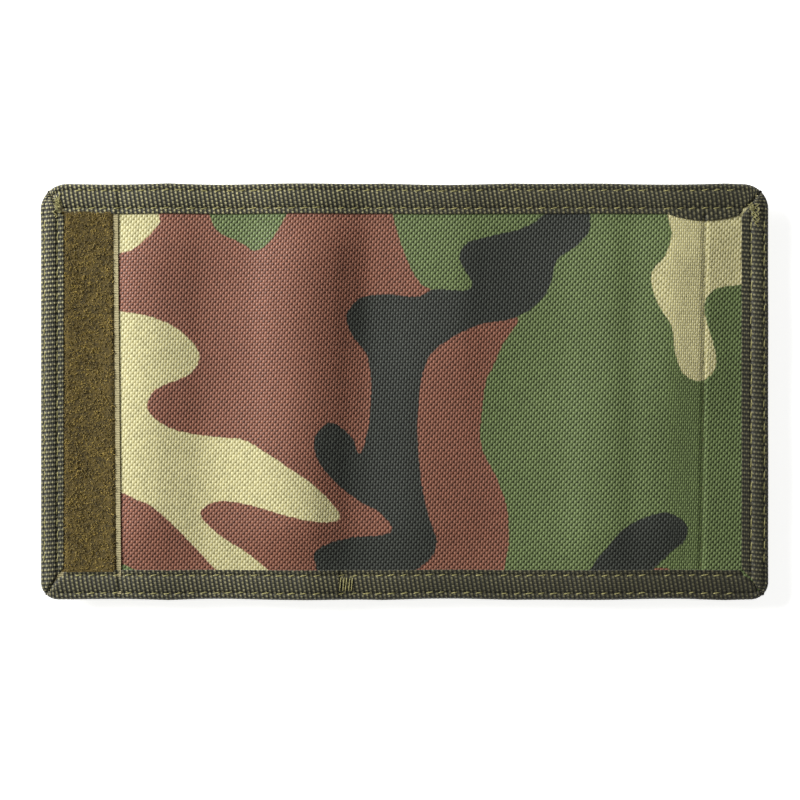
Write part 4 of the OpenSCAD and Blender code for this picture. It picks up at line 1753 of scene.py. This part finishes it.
@dataclass(frozen=True)
class Seams:
    """Makes the sewn parts that pockets share: flat sheets, folded hems and bound borders."""

    bench: Bench
    step: float = 1.0
    run: float = 0.34
    cell: float = 0.22
    hem_thickness: float = 0.09
    relief: float = 0.08
    squareness: float = 0.4

    def panel(
        self, name: str, body: str, finish: Finish, low: Array, high: Array, turn: float, swell: float
    ) -> Piece:
        """A sheet that swells slightly: its height changes by swell sin(pi s) sin(pi t) over its two sides.

        Args:
            name: The piece's name.
            body: The body that it rides on.
            finish: What it is made of.
            low: Its box's lowest corner.
            high: Its box's highest corner.
            turn: How far its bottom edge turns up, towards the note panel, over the last 4 mm.
            swell: How far its middle stands out, downwards.

        Returns:
            The piece.
        """
        x, y = grid(stations(low[0], high[0], self.step), stations(low[1], high[1], self.step))
        s, t = (x - low[0]) / (high[0] - low[0]), (y - low[1]) / (high[1] - low[1])
        out = -swell * np.sin(math.pi * s) * np.sin(math.pi * t) * (0.7 + 0.3 * np.sin(x / 5 + y / 9))
        rise = turn * (1 - smooth(y, low[1], low[1] + 4.0))
        flat = [np.stack([x, y, z + out + rise], -1) for z in (high[2] + 0 * x, low[2] + 0 * x)]
        piece = sheet_piece(f"{name}_piece", flat[0], flat[1], {CLOTH: flat[0]})
        self.bench.put(piece, finish, body, name)
        if min(high[:2] - low[:2]) > SMALLEST_SHEET:
            metres(*(high - low)[:2])
        return piece

    def hem(self, name: str, body: str) -> Piece:
        """Tape folded over a pocket's mouth, along its top edge."""
        low, high = node_mm(name)
        section = Hairpin(high[1] - low[1], (high[2] - low[2]) / 2, self.cell)
        x, index = grid(stations(low[0], high[0], self.run), np.arange(len(section.rest)))
        w, z = section.at(index, low[2], high[2])
        flat, relief = np.stack([x, high[1] - w, z], -1), WeaveRelief(0.03)
        piece = tape_piece(f"{name}_tape", lambda points: points, flat, section, self.hem_thickness, relief, x)
        return self.bench.put(piece, Finish.WEBBING, body, name)

    def border(self, name: str, body: str, low: Array, high: Array, *nodes: str) -> Piece:
        """A bound edge: webbing round a core, with a section of |cos|^squareness by |sin|^squareness.

        Args:
            name: The piece's name.
            body: The body that it rides on.
            low: Its box's lowest corner.
            high: Its box's highest corner.
            nodes: The CAD nodes that it stands for.

        Returns:
            The piece.
        """
        size = high - low
        run = 0 if size[0] > size[1] else 1
        cross = 1 - run
        along = stations(low[run], high[run], self.run)[:, None]
        corners = int(2 * (size[cross] + size[2]) / self.cell)
        angle = np.arange(corners)[None, :] * 2 * math.pi / corners
        bulge = [np.sign(f(angle)) * np.abs(f(angle)) ** self.squareness / 2 for f in (np.cos, np.sin)]
        around = angle / (2 * math.pi) * 2 * (size[cross] + size[2])
        relief = (weave(along, around, Webbing.pitch_u, Webbing.pitch_v) - 1) * self.relief
        rings = np.empty((*relief.shape, 3))
        rings[..., run] = along
        rings[..., cross] = (low + high)[cross] / 2 + bulge[0] * (size[cross] + 2 * relief)
        rings[..., 2] = (low + high)[2] / 2 + bulge[1] * (size[2] + 2 * relief)
        piece = tube_piece(f"{name}_tape", rings[None])
        cloth = np.stack([along + 0 * around, around + 0 * along, 0 * relief], -1).reshape(-1, 3)
        piece.data.attributes.new(CLOTH, "FLOAT_VECTOR", "POINT").data.foreach_set("vector", cloth.ravel())
        return self.bench.put(piece, Finish.WEBBING, body, *nodes)

    def frame(self, name: str, body: str, sides: str, width: float, top_width: float = 0.0) -> None:
        """A border along several sides of a node's box, where each side is its own strip.

        Args:
            name: The CAD node, whose box gives the outline.
            body: The body that it rides on.
            sides: Letters of the sides: l, r, b and t.
            width: The strips' width.
            top_width: The top strip's width.
        """
        low, high = node_mm(name)
        boxes = {
            "l": (low, (low[0] + width, high[1], high[2])),
            "r": ((high[0] - width, low[1], low[2]), high),
            "b": ((low[0] + width, low[1], low[2]), (high[0] - width, low[1] + width, high[2])),
            "t": ((low[0] + width, high[1] - top_width, low[2]), (high[0] - width, high[1], high[2])),
        }
        words = {"l": "left", "r": "right", "b": "bottom", "t": "top"}
        for number, side in enumerate(sides):
            a, b = (np.array(corner, float) for corner in boxes[side])
            self.border(f"{name}_{words[side]}", body, a, b, *([name] if number == 0 else []))


@dataclass(frozen=True)
class CardPockets:
    """Three card pockets in steps on the back panel, with a border round them."""

    seams: Seams
    names: tuple[str, str, str] = ("rear", "middle", "front")

    def build(self) -> None:
        """Makes the pockets from the rear one forwards."""
        top = self.seams.bench.layout.fold_z + self.seams.bench.layout.tape
        for place in self.names:
            low, high = node_mm(f"card_pocket_{place}")
            thickness = node_mm("card_pocket_front")[1][2] - node_mm("card_pocket_front")[0][2]
            high[2] = low[2] + thickness
            turn = 0.0 if place == "front" else top - high[2] - 0.02
            swell = 0.0 if turn else -0.1
            self.seams.panel(f"card_pocket_{place}", "back", Finish.INNER, low, high, turn, swell)
            self.seams.hem(f"card_hem_{place}", "back")
        for side in ("left", "right", "bottom"):
            name = f"card_border_{side}"
            self.seams.border(name, "back", *node_mm(name), name)


@dataclass(frozen=True)
class CoinPocket:
    """The zipped coin pocket inside the cover, with the clear card window on its face."""

    seams: Seams
    border: float = 2.1
    window_border: float = 3.0

    def build(self) -> None:
        """Makes the pocket's face, borders and window."""
        seams = self.seams
        seams.panel("coin_pocket_front", "cover", Finish.INNER, *node_mm("coin_pocket_front"), 0.0, -0.2)
        top_width = node_mm("coin_pocket_border")[1][1] - node_mm("zip_tape_upper")[1][1]
        seams.frame("coin_pocket_border", "cover", "lrbt", self.border, top_width)
        seams.panel("window_sheet", "cover", Finish.VINYL, *node_mm("window_sheet"), 0.0, 0.1)
        seams.frame("window_border", "cover", "lrb", self.window_border)
        seams.hem("window_hem", "cover")


@dataclass(frozen=True)
class Zip:
    """The coin pocket's coil zip: two tapes, two coils, end stops, slider and pull."""

    seams: Seams
    pitch: float = 1.2
    wire: float = 0.27
    turn_steps: int = 12
    sides: int = 6
    weld: float = 0.002
    edge: float = 0.12

    def build(self) -> None:
        """Makes the zip's halves, and gives the metal pieces soft edges."""
        for number, side in enumerate(("upper", "lower")):
            tape = f"zip_tape_{side}"
            self.seams.panel(tape, "cover", Finish.ZIP_TAPE, *node_mm(tape), 0.0, 0.0)
            self.coil(f"zip_teeth_{side}", number / 2)
        for name in ("zip_end_stops", "zip_slider", "zip_pull"):
            self.soften(frame["nodes"][name])

    def coil(self, name: str, shift: float) -> None:
        """One coil: a wire wound as a helix inside the teeth's box.

        It is at pitch times the turns along, and on an ellipse that fills the box, less the wire's radius.

        Args:
            name: The teeth's CAD node.
            shift: The winding's start, in turns.
        """
        low, high = node_mm(name)
        turns = np.linspace(0, 1, int((high[0] - low[0]) / self.pitch * self.turn_steps))
        angle = 2 * math.pi * (turns * (high[0] - low[0] - 2 * self.wire) / self.pitch + shift)
        middle, half = (low + high) / 2, (high - low) / 2 - self.wire
        x = low[0] + self.wire + turns * 2 * half[0]
        line = np.stack([x, middle[1] + half[1] * np.cos(angle), middle[2] + half[2] * np.sin(angle)], -1)
        up = np.array([1.0, 0, 0])
        piece = tube_piece(f"{name}_coil", tubes_along(line[None], self.wire, self.sides, up))
        self.seams.bench.put(piece, Finish.COIL, "cover", name)

    def soften(self, node: Piece) -> None:
        """Gives a CAD metal piece its plating and small round edges."""
        weld = node.modifiers.new("weld", "WELD")
        weld.merge_threshold = self.weld * MM
        bevel = node.modifiers.new("bevel", "BEVEL")
        bevel.width = self.edge * MM
        bevel.segments = 3
        bevel.limit_method = "ANGLE"
        self.seams.bench.wardrobe.dress(node, Finish.METAL)
        log.info("%s: metal, a CAD node", node.name)


# ---- studio


@dataclass(frozen=True)
class Studio:
    """A pale table, soft light from above, and a camera that looks straight down."""

    bench: Bench
    lamps: tuple[tuple[str, tuple[float, float, float], float, float], ...] = (
        ("key_light", (-1.25, 0.62, 0.66), 0.7, 46.0),
        ("fill_light", (0.2, -0.1, 1.4), 1.6, 1.8),
    )
    ambient: float = 0.12
    table_half: float = 3000.0
    frame_width: float = 249.4
    middle: tuple[float, float] = (-1.4, -2.56)
    lens: float = 85.0
    sensor: float = 36.0

    def build(self) -> None:
        """Sets the studio up."""
        self.table()
        for lamp in self.lamps:
            self.light(*lamp)
        world = bpy.data.worlds.new("studio")
        world.use_nodes = True
        background = world.node_tree.nodes["Background"].inputs
        background["Color"].default_value = (1, 1, 1, 1)
        background["Strength"].default_value = self.ambient
        bpy.context.scene.world = world
        bpy.context.scene.view_settings.view_transform = "Standard"
        self.camera()

    def table(self) -> None:
        """A large pale sheet at the height of the table."""
        points = np.array([(-1, -1, 0), (1, -1, 0), (1, 1, 0), (-1, 1, 0)]) * self.table_half
        mesh = bpy.data.meshes.new("table")
        mesh.from_pydata((points * MM).tolist(), [], [(0, 1, 2, 3)])
        table = bpy.data.objects.new("table", mesh)
        table.data.materials.append(Paper().make())
        bpy.context.scene.collection.objects.link(table)

    def light(self, name: str, place: tuple[float, float, float], size: float, power: float) -> None:
        """A square soft light that faces the wallet.

        Args:
            name: Its name.
            place: Where it hangs, in metres.
            size: Its side, in metres.
            power: Its power, in watts.
        """
        lamp = bpy.data.lights.new(name, "AREA")
        lamp.size = size
        lamp.energy = power
        holder = bpy.data.objects.new(name, lamp)
        x, y, z = place
        holder.location = place
        holder.rotation_euler = (math.atan2(math.hypot(x, y), z), 0, math.atan2(y, x) + math.pi / 2)
        bpy.context.scene.collection.objects.link(holder)

    def camera(self) -> None:
        """The camera, at the height from which the wallet fills the frame as frame_width says."""
        data = bpy.data.cameras.new("camera")
        data.lens = self.lens
        data.sensor_width = self.sensor
        holder = bpy.data.objects.new("camera", data)
        height = self.frame_width * self.lens / self.sensor + self.bench.layout.shell_hi_z
        holder.location = (self.middle[0] * MM, self.middle[1] * MM, height * MM)
        bpy.context.scene.collection.objects.link(holder)
        bpy.context.scene.camera = holder


def main() -> None:
    """Builds the wallet, sub-assembly by sub-assembly, and the studio round it."""
    logging.basicConfig(level=logging.INFO, format="%(message)s")
    bench = Bench.ready()
    tapes, seams = EdgeTapes(bench), Seams(bench)
    assemblies = (
        OuterCloth(bench),
        InnerCloths(bench),
        tapes,
        Stitching(bench, tapes),
        Fastener(bench),
        CardPockets(seams),
        CoinPocket(seams),
        Zip(seams),
        Studio(bench),
    )
    for assembly in assemblies:
        log.info("building %s", type(assembly).__name__)
        assembly.build()


if __name__ == "__main__":
    main()
